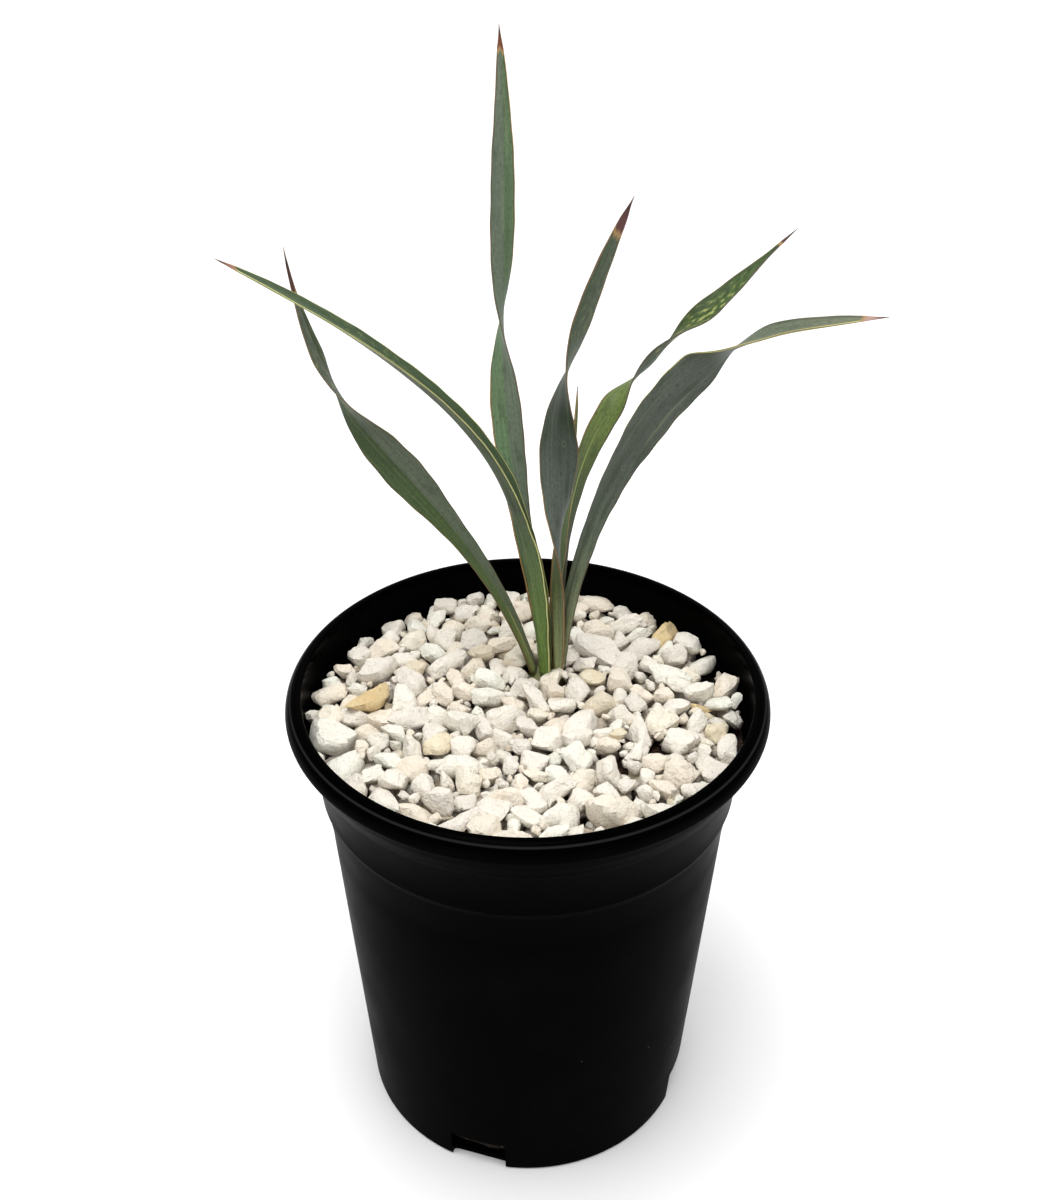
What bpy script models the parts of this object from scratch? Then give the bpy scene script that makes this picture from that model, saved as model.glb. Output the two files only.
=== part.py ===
"""Potted yucca: a young twisted-leaf plant in a round nursery pot, top-dressed with crushed white stone.

Sizes are in millimetres and are turned to metres where a mesh is made. +Z is up, the pot stands on Z = 0
with its axis on the Z axis, and -Y is the front.
"""

import math
import random

import bmesh
import bpy
import numpy as np
from mathutils import Euler, Vector

MM = 0.001
GAP = 0.3

# Pot: turned shell with a rolled rim, a flared collar and a shoulder where the straight body starts.
# The rim's crown is close to its inner side, and from there the roll falls outward to its widest place.
RIM_RADIUS = 82.5
POT_HEIGHT = 180.5
BASE_RADIUS = 60.7
WALL = 1.4
FLOOR = 2.0
BASE_CHAMFER_REACH = 0.8
BASE_CHAMFER_HEIGHT = 1.0
RIM_INNER_RADIUS = 76.8
RIM_CROWN_RADIUS = 77.7
RIM_WIDEST_HEIGHT = 174.6
RIM_FOOT = (79.9, 171.8)
COLLAR_EDGE = (77.6, 164.5)
COLLAR_FOOT = (73.4, 150.0)
SHOULDER_TOP = (72.4, 142.5)
SHOULDER_FOOT = (69.5, 123.0)
POT_STEPS = 56

# Drain notches: square openings through the foot of the wall, which leave the floor's disc whole
NOTCH_COUNT = 4
NOTCH_WIDTH = 21.0
NOTCH_HEIGHT = 13.5
NOTCH_INNER_RADIUS = 57.0
NOTCH_FIRST_ANGLE = -107.6
# How far a notch's cutter runs on past the wall and below the base
NOTCH_RUN_OUT = 6.0
NOTCH_RUN_BELOW = 5.0

# Potting mix and gravel fill the pot from the floor up
MIX_TOP = 151.7
GRAVEL_EDGE_HEIGHT = 165.2
GRAVEL_CROWN_HEIGHT = 166.2
STONE_COUNT = 165
STONE_SPREAD = 74.0
STONE_LENGTH = (5.6, 9.0)
STONE_BREADTH = (4.2, 6.2)
STONE_DEPTH = (3.0, 4.4)
STONE_WALL_GAP = 1.2
STONE_LIFT = (0.4, 1.9)
# Where a stone's corners lie between its middle and its block's corners, its tilt and stray in radians
CORNER_SHARE = (0.42, 0.82)
STONE_TILT = 0.45
STONE_STRAY = 0.12
STONE_SEED = 11

# Stem: the short base that the leaves stand on, hidden in the gravel, with its root below
STEM_AXIS = (6.0, 27.0)
STEM_RADIUS = 8.6
STEM_TOP = 165.0
STEM_CHAMFER_REACH = 0.8
STEM_CHAMFER_HEIGHT = 1.2
STEM_FOOT_HEIGHT = 156.0
ROOT_TAPER = [(6.4, 149.0), (4.2, 138.0)]
ROOT_TIP = (1.4, 112.0)

# Leaves: a blade is a strip folded along its midrib
BLADE_THICKNESS = 0.8
LEAST_HALF_WIDTH = 0.5
BLADE_ROWS = 33
BLADE_COLUMNS = 5
VIEW_TILT = math.radians(34.0)
FRONT = np.array([0.0, -math.cos(VIEW_TILT), math.sin(VIEW_TILT)])

LEAF_FOOT = 166.0
# Steps in which the values along a leaf are worked out, and half the steps of their rounding off
FINE_STEPS = 241
ROUNDING = 9

# Each leaf as it grew. foot is where it stands on plan and length runs along its midrib, in mm. The other
# rows are stops of (percent of the length, value): the midrib's heading in degrees, 0 to the right and 90 to
# the back, its lean from the vertical, the half width in mm, and the blade's twist and fold in degrees. A
# twist of 0 turns the blade's face to FRONT.
LEAVES = {
    "leaf_arching_left": {
        "foot": (5.2, 24.8),
        "length": 220,
        "heading": [(0, 215), (100, 215)],
        "lean": [(0, 6), (24, 11), (34, 18), (46, 31), (60, 41), (80, 48), (100, 54)],
        "width": [
            (0, 4.6), (8, 5.8), (19, 7.7), (30, 6.4), (40, 6.4), (60, 5.4), (80, 3.9), (92, 2.2), (100, 0.4),
        ],
        "twist": [(0, -76), (16, -80), (25, -90), (38, -76), (70, -66), (100, -50)],
        "fold": [(0, 62), (14, 66), (25, 60), (40, 46), (70, 32), (100, 6)],
    },
    "leaf_low_left": {
        "foot": (2, 26),
        "length": 177,
        "heading": [(0, 172), (100, 172)],
        "lean": [(0, 16), (15, 24), (35, 36), (50, 39), (62, 38), (75, 23), (100, 6)],
        "width": [
            (0, 2), (32, 4.5), (42, 5.6), (51, 6.8), (62, 5.6), (80, 3.7), (87, 2.2), (92, 1), (100, 0.4),
        ],
        "twist": [(0, -50), (32, -42), (45, -20), (58, 16), (71, 90), (79, 126), (100, 120)],
        "fold": [(0, 16), (40, 10), (100, 6)],
    },
    "leaf_tall": {
        "foot": (6.6, 32.8),
        "length": 219,
        "heading": [(0, 145), (30, 138), (50, 108), (65, 82), (85, 92), (100, 108)],
        "lean": [(0, 12), (30, 11), (50, 9), (100, 11)],
        "width": [
            (0, 1.8), (15, 2.6), (28, 3.8), (42, 5.8), (52, 5.6), (65, 4.7), (80, 4.2), (90, 2.6), (100, 0.4),
        ],
        "twist": [(0, -20), (25, -5), (42, 18), (50, 40), (58, 90), (66, 138), (75, 157), (100, 156)],
        "fold": [(0, 20), (40, 10), (100, 5)],
    },
    "leaf_centre_right": {
        "foot": (11.1, 24.7),
        "length": 188,
        "heading": [(0, 262), (35, 256), (52, 262), (60, 310), (72, 328), (100, 332)],
        "lean": [(0, 3), (52, 5), (66, 13), (80, 19), (100, 24)],
        "width": [
            (0, 1.8), (14, 2.4), (28, 4.2), (38, 5.2), (48, 6.6), (60, 5.4), (75, 3.9), (88, 2.6), (100, 0.4),
        ],
        "twist": [
            (0, 0), (15, 25), (28, 88), (38, 142), (48, 184), (58, 222), (66, 270), (75, 314), (100, 335),
        ],
        "fold": [(0, 14), (40, 9), (100, 5)],
    },
    "leaf_young": {
        "foot": (8, 30.2),
        "length": 108,
        "heading": [(0, 50), (100, 40)],
        "lean": [(0, 1), (30, 6), (60, 11), (85, 6), (100, 0)],
        "width": [(0, 1.3), (25, 2), (43, 3.1), (60, 2.4), (75, 1.2), (100, 0.4)],
        "twist": [(0, -35), (100, -40)],
        "fold": [(0, 26), (100, 12)],
    },
    "leaf_right_back": {
        "foot": (10.4, 31.7),
        "length": 188,
        "heading": [(0, 85), (30, 62), (55, 35), (100, 25)],
        "lean": [(0, 8), (20, 12), (35, 26), (50, 47), (62, 55), (74, 63), (85, 56), (100, 56)],
        "width": [(0, 2), (20, 3.8), (42, 5), (60, 3.8), (75, 4.8), (85, 3.2), (92, 1), (100, 0.4)],
        "twist": [
            (0, -75), (25, -74), (38, -52), (50, -22), (58, 88), (63, 118), (68, 90), (76, 28), (100, 36),
        ],
        "fold": [(0, 25), (35, 13), (100, 5)],
    },
    "leaf_right_front": {
        "foot": (11.2, 28),
        "length": 205,
        "heading": [(0, 300), (25, 318), (55, 326), (76, 335), (100, 337)],
        "lean": [(0, 6), (15, 12), (30, 17), (45, 24), (57, 30), (67, 38), (76, 54), (86, 69), (100, 74)],
        "width": [
            (0, 2.4), (15, 3.3), (30, 4.4), (58, 6.6), (67, 6.2), (76, 4.8), (84, 5), (92, 3.2), (100, 0.4),
        ],
        "twist": [
            (0, 204), (18, 226), (32, 230), (46, 220), (60, 200), (69, 184), (75, 96), (82, 56), (100, 50),
        ],
        "fold": [(0, 20), (50, 10), (76, 8), (86, 28), (100, 16)],
    },
}


def clear_scene():
    for obj in list(bpy.data.objects):
        bpy.data.objects.remove(obj)


def new_collection(name):
    collection = bpy.data.collections.new(name)
    bpy.context.scene.collection.children.link(collection)
    return collection


def material(name, colour, roughness):
    """Principled material in one plain colour; nothing on this object is metal."""
    made = bpy.data.materials.new(name)
    made.use_nodes = True
    shader = made.node_tree.nodes["Principled BSDF"]
    shader.inputs["Base Color"].default_value = (*colour, 1.0)
    shader.inputs["Roughness"].default_value = roughness
    shader.inputs["Metallic"].default_value = 0.0
    return made


def add_object(name, mesh, collection, finish=None):
    obj = bpy.data.objects.new(name, mesh)
    collection.objects.link(obj)
    if finish:
        mesh.materials.append(finish)
    return obj


def turned(name, profile, collection, finish=None, steps=POT_STEPS, axis=(0.0, 0.0)):
    """A profile of (radius, height) points turned round a vertical axis by a Screw modifier."""
    mesh = bpy.data.meshes.new(name)
    points = [(radius * MM, 0.0, height * MM) for radius, height in profile]
    mesh.from_pydata(points, [(i, i + 1) for i in range(len(points) - 1)], [])
    obj = add_object(name, mesh, collection, finish)
    obj.location = (axis[0] * MM, axis[1] * MM, 0.0)
    screw = obj.modifiers.new("Turn", "SCREW")
    screw.steps = steps
    screw.render_steps = steps
    screw.use_merge_vertices = True
    screw.merge_threshold = 0.00001
    screw.use_smooth_shade = True
    return obj


def make_helper(obj):
    obj.hide_render = True
    obj.display_type = "WIRE"


def apply_modifiers(obj):
    """Replaces the object's mesh by its evaluated one, at the same place."""
    bpy.context.view_layer.update()
    evaluated = obj.evaluated_get(bpy.context.evaluated_depsgraph_get())
    mesh = bpy.data.meshes.new_from_object(evaluated)
    obj.modifiers.clear()
    obj.data = mesh


def keep_largest_shell(obj):
    """Drops the small closed shells that a union leaves where neighbours seal a hollow between them."""
    mesh = bmesh.new()
    mesh.from_mesh(obj.data)
    unseen = set(mesh.faces)
    shells = []
    while unseen:
        edge_of_shell = [unseen.pop()]
        shell = []
        while edge_of_shell:
            face = edge_of_shell.pop()
            shell.append(face)
            for edge in face.edges:
                for neighbour in edge.link_faces:
                    if neighbour in unseen:
                        unseen.remove(neighbour)
                        edge_of_shell.append(neighbour)
        shells.append(shell)
    shells.sort(key=len)
    loose = [face for shell in shells[:-1] for face in shell]
    bmesh.ops.delete(mesh, geom=loose, context="FACES")
    mesh.to_mesh(obj.data)
    mesh.free()


def wall_radius(height):
    """Outer radius of the pot's wall at a height, straight between the profile's named points."""
    points = [(BASE_RADIUS, 0.0), SHOULDER_FOOT, SHOULDER_TOP, COLLAR_FOOT, COLLAR_EDGE, RIM_FOOT]
    radii, heights = zip(*points)
    return float(np.interp(height, heights, radii))


def rim_points():
    """Up the rim's inner side, over its crown, down the roll's back and round its lower edge. The back and
    the lower edge are quarter ellipses that meet at the widest place."""
    rounding = RIM_CROWN_RADIUS - RIM_INNER_RADIUS
    drop = POT_HEIGHT - RIM_WIDEST_HEIGHT
    foot_radius, foot_height = RIM_FOOT
    # The inner side starts where the flared wall, less its thickness, reaches the rim's inner radius.
    flare = (COLLAR_EDGE[0], foot_radius), (COLLAR_EDGE[1], foot_height)
    start_height = float(np.interp(RIM_INNER_RADIUS + WALL, *flare))
    points = [(RIM_INNER_RADIUS, start_height), (RIM_INNER_RADIUS, POT_HEIGHT - rounding)]
    for degrees in (45, 0):
        turn = math.radians(degrees)
        points.append(
            (RIM_CROWN_RADIUS - rounding * math.sin(turn), POT_HEIGHT - rounding * (1 - math.cos(turn)))
        )
    for degrees in (25, 50, 72, 90):
        turn = math.radians(degrees)
        reach = (RIM_RADIUS - RIM_CROWN_RADIUS) * math.sin(turn)
        points.append((RIM_CROWN_RADIUS + reach, RIM_WIDEST_HEIGHT + drop * math.cos(turn)))
    for degrees in (35, 70):
        turn = math.radians(degrees)
        reach = (RIM_RADIUS - foot_radius) * math.cos(turn)
        fall = (RIM_WIDEST_HEIGHT - foot_height) * math.sin(turn)
        points.append((foot_radius + reach, RIM_WIDEST_HEIGHT - fall))
    return points


def inner_line(heights, clearance=0.0):
    """Points down or up the inside of the wall, moved in by a clearance."""
    return [(wall_radius(height) - WALL - clearance, height) for height in heights]


def make_pot(collection, cutters, finish):
    """Inside from the floor's centre up the wall, over the rolled rim, down the outside and back under."""
    inner_heights = (FLOOR, SHOULDER_FOOT[1], SHOULDER_TOP[1], COLLAR_FOOT[1], COLLAR_EDGE[1])
    outside = [RIM_FOOT, COLLAR_EDGE, COLLAR_FOOT, SHOULDER_TOP, SHOULDER_FOOT]
    chamfer_top = (wall_radius(BASE_CHAMFER_HEIGHT), BASE_CHAMFER_HEIGHT)
    foot = [chamfer_top, (BASE_RADIUS - BASE_CHAMFER_REACH, 0.0), (0.0, 0.0)]
    profile = [(0.0, FLOOR), *inner_line(inner_heights), *rim_points(), *outside, *foot]
    pot = turned("pot", profile, collection, finish)

    notch_depth = 2 * (BASE_RADIUS + NOTCH_RUN_OUT - NOTCH_INNER_RADIUS)
    for index in range(NOTCH_COUNT):
        angle = math.radians(NOTCH_FIRST_ANGLE + index * 360.0 / NOTCH_COUNT)
        radius = NOTCH_INNER_RADIUS + notch_depth / 2
        bpy.ops.mesh.primitive_cube_add(
            size=1.0,
            location=(
                radius * math.cos(angle) * MM,
                radius * math.sin(angle) * MM,
                (NOTCH_HEIGHT - NOTCH_RUN_BELOW) / 2 * MM,
            ),
            rotation=(0.0, 0.0, angle),
            scale=(notch_depth * MM, NOTCH_WIDTH * MM, (NOTCH_HEIGHT + NOTCH_RUN_BELOW) * MM),
        )
        cutter = bpy.context.object
        cutter.name = f"notch_cutter_{index + 1}"
        make_helper(cutter)
        for home in list(cutter.users_collection):
            home.objects.unlink(cutter)
        cutters.objects.link(cutter)
        cut = pot.modifiers.new(f"Notch {index + 1}", "BOOLEAN")
        cut.operation = "DIFFERENCE"
        cut.object = cutter
    return pot


def stem_profile(clearance):
    """Stem base and tapering root, as (radius, height) points, top to bottom."""
    tip_radius, tip_height = ROOT_TIP
    return [
        (0.0, STEM_TOP + clearance),
        (STEM_RADIUS - STEM_CHAMFER_REACH + clearance, STEM_TOP + clearance),
        (STEM_RADIUS + clearance, STEM_TOP - STEM_CHAMFER_HEIGHT),
        (STEM_RADIUS + clearance, STEM_FOOT_HEIGHT),
        *((radius + clearance, height) for radius, height in ROOT_TAPER),
        (tip_radius + clearance, tip_height - clearance),
        (0.0, tip_height - clearance),
    ]


def make_stem_cutter(name, cutters):
    """The plain hole that the stem and root stand in, run on up through the gravel's stones."""
    profile = stem_profile(GAP)
    top = POT_HEIGHT + 5.0
    profile[0] = (0.0, top)
    profile[1] = (STEM_RADIUS + GAP, top)
    cutter = turned(name, profile, cutters, steps=28, axis=STEM_AXIS)
    make_helper(cutter)
    return cutter


def cut_hole(obj, cutter):
    cut = obj.modifiers.new("Stem hole", "BOOLEAN")
    cut.operation = "DIFFERENCE"
    cut.object = cutter


def make_potting_mix(collection, cutter, finish):
    """Everything under the gravel: the pot's inside less a small gap, with its foot drawn in at the notches."""
    heights = (COLLAR_FOOT[1], SHOULDER_TOP[1], SHOULDER_FOOT[1], NOTCH_HEIGHT)
    floor_radius = NOTCH_INNER_RADIUS - GAP
    top_radius = wall_radius(MIX_TOP) - WALL - GAP
    profile = [
        (0.0, MIX_TOP),
        (top_radius, MIX_TOP),
        *inner_line(heights, GAP),
        (floor_radius, FLOOR + GAP),
        (0.0, FLOOR + GAP),
    ]
    mix = turned("potting_mix", profile, collection, finish)
    cut_hole(mix, cutter)
    return mix


def bed_height(radius):
    """Height of the gravel bed under its stones: a low dome."""
    share = radius / wall_radius(GRAVEL_EDGE_HEIGHT)
    return GRAVEL_CROWN_HEIGHT - (GRAVEL_CROWN_HEIGHT - GRAVEL_EDGE_HEIGHT) * share**2


def make_stone(name, collection, draw):
    """A crushed stone: the hull round a block whose corners and two faces are knocked about."""
    half = (draw.uniform(*STONE_LENGTH), draw.uniform(*STONE_BREADTH), draw.uniform(*STONE_DEPTH))
    points = []
    for x in (-1, 1):
        for y in (-1, 1):
            for z in (-1, 1):
                share = [corner * draw.uniform(*CORNER_SHARE) for corner in (x, y, z)]
                points.append(Vector(share))
    points.append(Vector((draw.uniform(-0.3, 0.3), draw.uniform(-0.3, 0.3), 1.0)))
    points.append(Vector((1.0, draw.uniform(-0.3, 0.3), draw.uniform(-0.3, 0.3))))
    tilts = [draw.uniform(-STONE_TILT, STONE_TILT) for _ in range(2)]
    turn = Euler((*tilts, draw.uniform(0, math.tau)))
    shape = bmesh.new()
    for point in points:
        scaled = Vector(axis * size * MM for axis, size in zip(point, half))
        scaled.rotate(turn)
        shape.verts.new(scaled)
    bmesh.ops.convex_hull(shape, input=shape.verts)
    bmesh.ops.recalc_face_normals(shape, faces=shape.faces)
    mesh = bpy.data.meshes.new(name)
    shape.to_mesh(mesh)
    shape.free()
    return add_object(name, mesh, collection), half[0]


def stone_place(index, stone, half_length, draw):
    """Sunflower spacing over the bed, drawn in so that no corner touches the wall, and held off the stem."""
    angle = index * math.radians(137.508) + draw.uniform(-STONE_STRAY, STONE_STRAY)
    outward = Vector((math.cos(angle), math.sin(angle), 0.0))
    reach = max(corner.co.dot(outward) for corner in stone.data.vertices) / MM
    limit = wall_radius(GRAVEL_EDGE_HEIGHT) - WALL - STONE_WALL_GAP - reach
    radius = min(STONE_SPREAD * math.sqrt((index + 0.5) / STONE_COUNT), limit)
    place = Vector((radius * math.cos(angle), radius * math.sin(angle)))
    from_stem = place - Vector(STEM_AXIS)
    clear = STEM_RADIUS + GAP + 0.7 * half_length
    if from_stem.length < clear:
        place = Vector(STEM_AXIS) + from_stem.normalized() * clear
    height = bed_height(place.length) + draw.uniform(*STONE_LIFT)
    return Vector((place.x, place.y, height)) * MM


def make_gravel(collection, cutter, finish):
    """A domed bed with crushed stones sunk in it, joined into one body."""
    dome = [(radius, bed_height(radius)) for radius in (0.0, 30.0, 55.0)]
    heights = (GRAVEL_EDGE_HEIGHT, MIX_TOP + GAP)
    profile = [*dome, *inner_line(heights, GAP), (0.0, MIX_TOP + GAP)]
    gravel = turned("gravel", profile, collection, finish, steps=48)

    draw = random.Random(STONE_SEED)
    stones = new_collection("stones")
    for index in range(STONE_COUNT):
        stone, half_length = make_stone(f"stone_{index + 1}", stones, draw)
        stone.location = stone_place(index, stone, half_length, draw)
    join = gravel.modifiers.new("Join stones", "BOOLEAN")
    join.operation = "UNION"
    join.operand_type = "COLLECTION"
    join.collection = stones
    join.solver = "MANIFOLD"
    apply_modifiers(gravel)
    for stone in list(stones.objects):
        bpy.data.objects.remove(stone)
    bpy.data.collections.remove(stones)
    keep_largest_shell(gravel)
    cut_hole(gravel, cutter)
    apply_modifiers(gravel)
    keep_largest_shell(gravel)
    return gravel


def make_stem(collection, finish):
    return turned("stem", stem_profile(0.0), collection, finish, steps=28, axis=STEM_AXIS)


def eased(stops, count):
    """A value along a leaf: straight between its stops, then rounded off by a running mean, whose weights
    fall off as a raised cosine."""
    share, value = np.array(stops, float).T
    raw = np.interp(np.linspace(0, 100, FINE_STEPS), share, value)
    before = 2 * raw[0] - raw[ROUNDING:0:-1]
    after = 2 * raw[-1] - raw[-2 : -ROUNDING - 2 : -1]
    weights = np.hanning(2 * ROUNDING + 3)[1:-1]
    smooth = np.convolve(np.concatenate([before, raw, after]), weights / weights.sum(), "valid")
    return np.interp(np.linspace(0, 1, count), np.linspace(0, 1, FINE_STEPS), smooth)


def midrib(leaf, count):
    """Points along a leaf's midrib: from its foot it goes in even steps, each leaning from the vertical by the
    leaf's lean, towards its heading."""
    lean = np.radians(eased(leaf["lean"], FINE_STEPS))
    heading = np.radians(eased(leaf["heading"], FINE_STEPS))
    way = np.stack([np.sin(lean) * np.cos(heading), np.sin(lean) * np.sin(heading), np.cos(lean)], axis=-1)
    steps = (way[1:] + way[:-1]) / 2 * leaf["length"] / (FINE_STEPS - 1)
    points = np.vstack([[0, 0, 0], np.cumsum(steps, axis=0)]) + [*leaf["foot"], LEAF_FOOT]
    place = np.linspace(0, FINE_STEPS - 1, count)
    whole = np.arange(FINE_STEPS)
    return np.stack([np.interp(place, whole, points[:, axis]) for axis in range(3)], axis=-1)


def unit(vectors):
    return vectors / np.linalg.norm(vectors, axis=1, keepdims=True)


def blade_points(leaf):
    """Rows of points across the blade: each row is a V that opens on the side the blade faces."""
    spine = midrib(leaf, BLADE_ROWS)
    half_width = np.maximum(eased(leaf["width"], BLADE_ROWS), LEAST_HALF_WIDTH)
    turn = np.radians(eased(leaf["twist"], BLADE_ROWS))[:, None]
    fold = np.radians(eased(leaf["fold"], BLADE_ROWS))
    along = unit(np.gradient(spine, axis=0))
    level = unit(np.cross(along, FRONT))
    facing = np.cross(level, along)
    across = level * np.cos(turn) + facing * np.sin(turn)
    face = facing * np.cos(turn) - level * np.sin(turn)
    share = np.linspace(-1.0, 1.0, BLADE_COLUMNS)
    sideways = (half_width * np.cos(fold))[:, None] * share
    raised = (half_width * np.sin(fold))[:, None] * np.abs(share)
    return spine[:, None] + sideways[..., None] * across[:, None] + raised[..., None] * face[:, None]


def make_leaf(name, leaf, collection, finish):
    """An open strip of triangles, lofted along the midrib, and then given its thickness."""
    points = blade_points(leaf) * MM
    faces = []
    for row in range(BLADE_ROWS - 1):
        for column in range(BLADE_COLUMNS - 1):
            corner = row * BLADE_COLUMNS + column
            above = corner + BLADE_COLUMNS
            faces += [(corner, corner + 1, above + 1), (corner, above + 1, above)]
    mesh = bpy.data.meshes.new(name)
    mesh.from_pydata(points.reshape(-1, 3).tolist(), [], faces)
    mesh.shade_smooth()
    blade = add_object(name, mesh, collection, finish)
    thicken = blade.modifiers.new("Thickness", "SOLIDIFY")
    thicken.thickness = BLADE_THICKNESS * MM
    thicken.offset = 0.0
    return blade


def main():
    clear_scene()
    parts = new_collection("potted_yucca")
    cutters = new_collection("cutters")
    black_plastic = material("black pot plastic", (0.012, 0.012, 0.013), 0.42)
    brown_mix = material("potting mix", (0.045, 0.025, 0.014), 0.95)
    white_stone = material("crushed white stone", (0.78, 0.74, 0.66), 0.85)
    pale_stem = material("stem base", (0.42, 0.45, 0.28), 0.6)
    green_leaf = material("grey-green leaf", (0.10, 0.16, 0.10), 0.5)

    stem_cutter = make_stem_cutter("stem_cutter", cutters)
    make_pot(parts, cutters, black_plastic)
    make_potting_mix(parts, stem_cutter, brown_mix)
    make_gravel(parts, stem_cutter, white_stone)
    make_stem(parts, pale_stem)
    for name, leaf in LEAVES.items():
        make_leaf(name, leaf, parts, green_leaf)


main()
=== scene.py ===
"""Looks of a potted yucca: black nursery pot, potting mix, crushed white stone and seven twisted leaves.

Lengths are in millimetres until a mesh is made, and in metres in materials and in the setting. The pot stands
on Z = 0 with its axis on the Z axis, and -Y is the front.
"""

import math

import bmesh
import bpy
import numpy as np
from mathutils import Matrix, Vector


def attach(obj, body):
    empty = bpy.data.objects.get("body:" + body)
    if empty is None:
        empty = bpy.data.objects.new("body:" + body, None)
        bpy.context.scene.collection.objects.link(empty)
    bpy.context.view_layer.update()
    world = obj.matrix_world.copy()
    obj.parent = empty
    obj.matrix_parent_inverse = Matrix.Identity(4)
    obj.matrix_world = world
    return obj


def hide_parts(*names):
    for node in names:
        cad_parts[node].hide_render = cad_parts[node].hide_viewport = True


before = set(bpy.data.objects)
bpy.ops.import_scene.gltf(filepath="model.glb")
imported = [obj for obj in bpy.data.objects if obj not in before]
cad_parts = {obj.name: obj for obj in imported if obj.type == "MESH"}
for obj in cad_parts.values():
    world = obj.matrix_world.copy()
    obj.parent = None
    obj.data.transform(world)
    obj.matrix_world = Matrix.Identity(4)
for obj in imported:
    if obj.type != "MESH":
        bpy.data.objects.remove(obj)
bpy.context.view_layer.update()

MM = 0.001
# Points nearer than this many millimetres are one.
MERGE = 0.001


# Pot: an injection-moulded nursery pot in black polypropylene, with a rolled rim, a flared collar and a
# shoulder. It is turned from one closed profile, and its four drain notches are cut out afterwards.

POT_HEIGHT = 180.5
POT_WALL = 1.3
POT_FLOOR = 2.0
BASE_RADIUS = 60.7
BASE_ROUNDING = 0.9
# Places on the outside of the wall, as (radius, height). Where one stretch ends, the next starts a ledge
# further out and up.
SHOULDER_FOOT = (69.5, 123.0)
SHOULDER_TOP = (72.1, 142.4)
COLLAR_EDGE = (77.2, 164.2)
RIM_FOOT = (79.9, 171.8)
LEDGE = 0.4
RIM_RADIUS = 82.5
RIM_INNER_RADIUS = 76.8
RIM_CROWN_RADIUS = 77.7
RIM_WIDEST_HEIGHT = 174.6
NOTCH_WIDTH = 21.0
NOTCH_HEIGHT = 13.5
NOTCH_COUNT = 4
NOTCH_FIRST_ANGLE = -107.6
# A notch's cutter: its depth, its middle's distance from the axis, how far it runs on below the base, and the
# rounding of its edges.
NOTCH_DEPTH = 16.0
NOTCH_RADIUS = 65.0
NOTCH_RUN_BELOW = 6.0
NOTCH_ROUNDING = 1.2
# Heights on the rim where its polish and its painted shade start and are full, and that of its painted
# highlight, a thin bright line, which shows only outside a radius.
POLISH_AND_SHADE_START = 176.2
POLISH_AND_SHADE_FULL = 177.8
PAINTED_HIGHLIGHT_HEIGHT = 179.2
PAINTED_HIGHLIGHT_RADIUS = 78.5
POT_COLUMNS = 192
CRISP_ANGLE = 40


def linear(hex_colour):
    """An sRGB hex colour such as "#f2ead8" as linear red, green, blue and an alpha of 1."""
    parts = [int(hex_colour[i : i + 2], 16) / 255 for i in (1, 3, 5)]
    return (*[c / 12.92 if c <= 0.04045 else ((c + 0.055) / 1.055) ** 2.4 for c in parts], 1.0)


def per_mm(size):
    """Scale of a pattern on Object coordinates, in metres, whose features are this many millimetres."""
    return 1000.0 / size


def new_material(name):
    """An empty material, and its node tree."""
    made = bpy.data.materials.new(name)
    made.use_nodes = True
    made.node_tree.nodes.clear()
    return made, made.node_tree


def add_node(tree, kind, inputs=(), stops=(), **settings):
    """One shader node. inputs are values or the sockets that feed it, by the names of its own sockets or else
    in their order, and stops are a colour ramp's (percent, colour)."""
    node = tree.nodes.new(kind)
    for name, value in settings.items():
        setattr(node, name, value)
    for name, value in inputs.items() if isinstance(inputs, dict) else enumerate(inputs):
        if isinstance(value, bpy.types.NodeSocket):
            tree.links.new(value, node.inputs[name])
        else:
            node.inputs[name].default_value = value
    while stops and len(node.color_ramp.elements) < len(stops):
        node.color_ramp.elements.new(0.5)
    for number, (percent, hex_colour) in enumerate(stops):
        node.color_ramp.elements[number].position = percent / 100
        node.color_ramp.elements[number].color = linear(hex_colour)
    return node


def layered(tree, colour, layers):
    """A colour under layers that are laid on in turn. Each layer is its colour, a reading, two values of that
    reading, and how much of the layer shows at each of them, with an even change between."""
    colour = linear(colour) if isinstance(colour, str) else colour
    for above, *shown in layers:
        above = linear(above) if isinstance(above, str) else above
        share = add_node(tree, "ShaderNodeMapRange", shown).outputs[0]
        mixed = add_node(tree, "ShaderNodeMix", {"Factor": share, "A": colour, "B": above}, data_type="RGBA")
        colour = mixed.outputs["Result"]
    return colour


def placed(name, data):
    """A new object in the scene, which shows a mesh, a lamp or a camera."""
    made = bpy.data.objects.new(name, data)
    bpy.context.scene.collection.objects.link(made)
    return made


def make_piece(name, points, faces, material, smooth_below=None, readings=None):
    """A mesh object from points in millimetres and faces, with its doubles merged and its faces pointing out.
    Edges sharper than smooth_below degrees stay crisp, and readings are values that the points carry."""
    mesh = bpy.data.meshes.new(name)
    mesh.from_pydata((np.asarray(points) * MM).tolist(), [], faces)
    for key, values in (readings or {}).items():
        values = np.asarray(values, np.float32)
        kind, field = ("FLOAT", "value") if values.ndim == 1 else ("FLOAT_COLOR", "color")
        mesh.attributes.new(key, kind, "POINT").data.foreach_set(field, values.ravel())
    shape = bmesh.new()
    shape.from_mesh(mesh)
    bmesh.ops.remove_doubles(shape, verts=shape.verts, dist=MERGE * MM)
    bmesh.ops.recalc_face_normals(shape, faces=shape.faces)
    shape.to_mesh(mesh)
    shape.free()
    mesh.materials.append(material)
    mesh.shade_smooth()
    if smooth_below is not None:
        mesh.set_sharp_from_angle(angle=math.radians(smooth_below))
    return placed(name, mesh)


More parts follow.
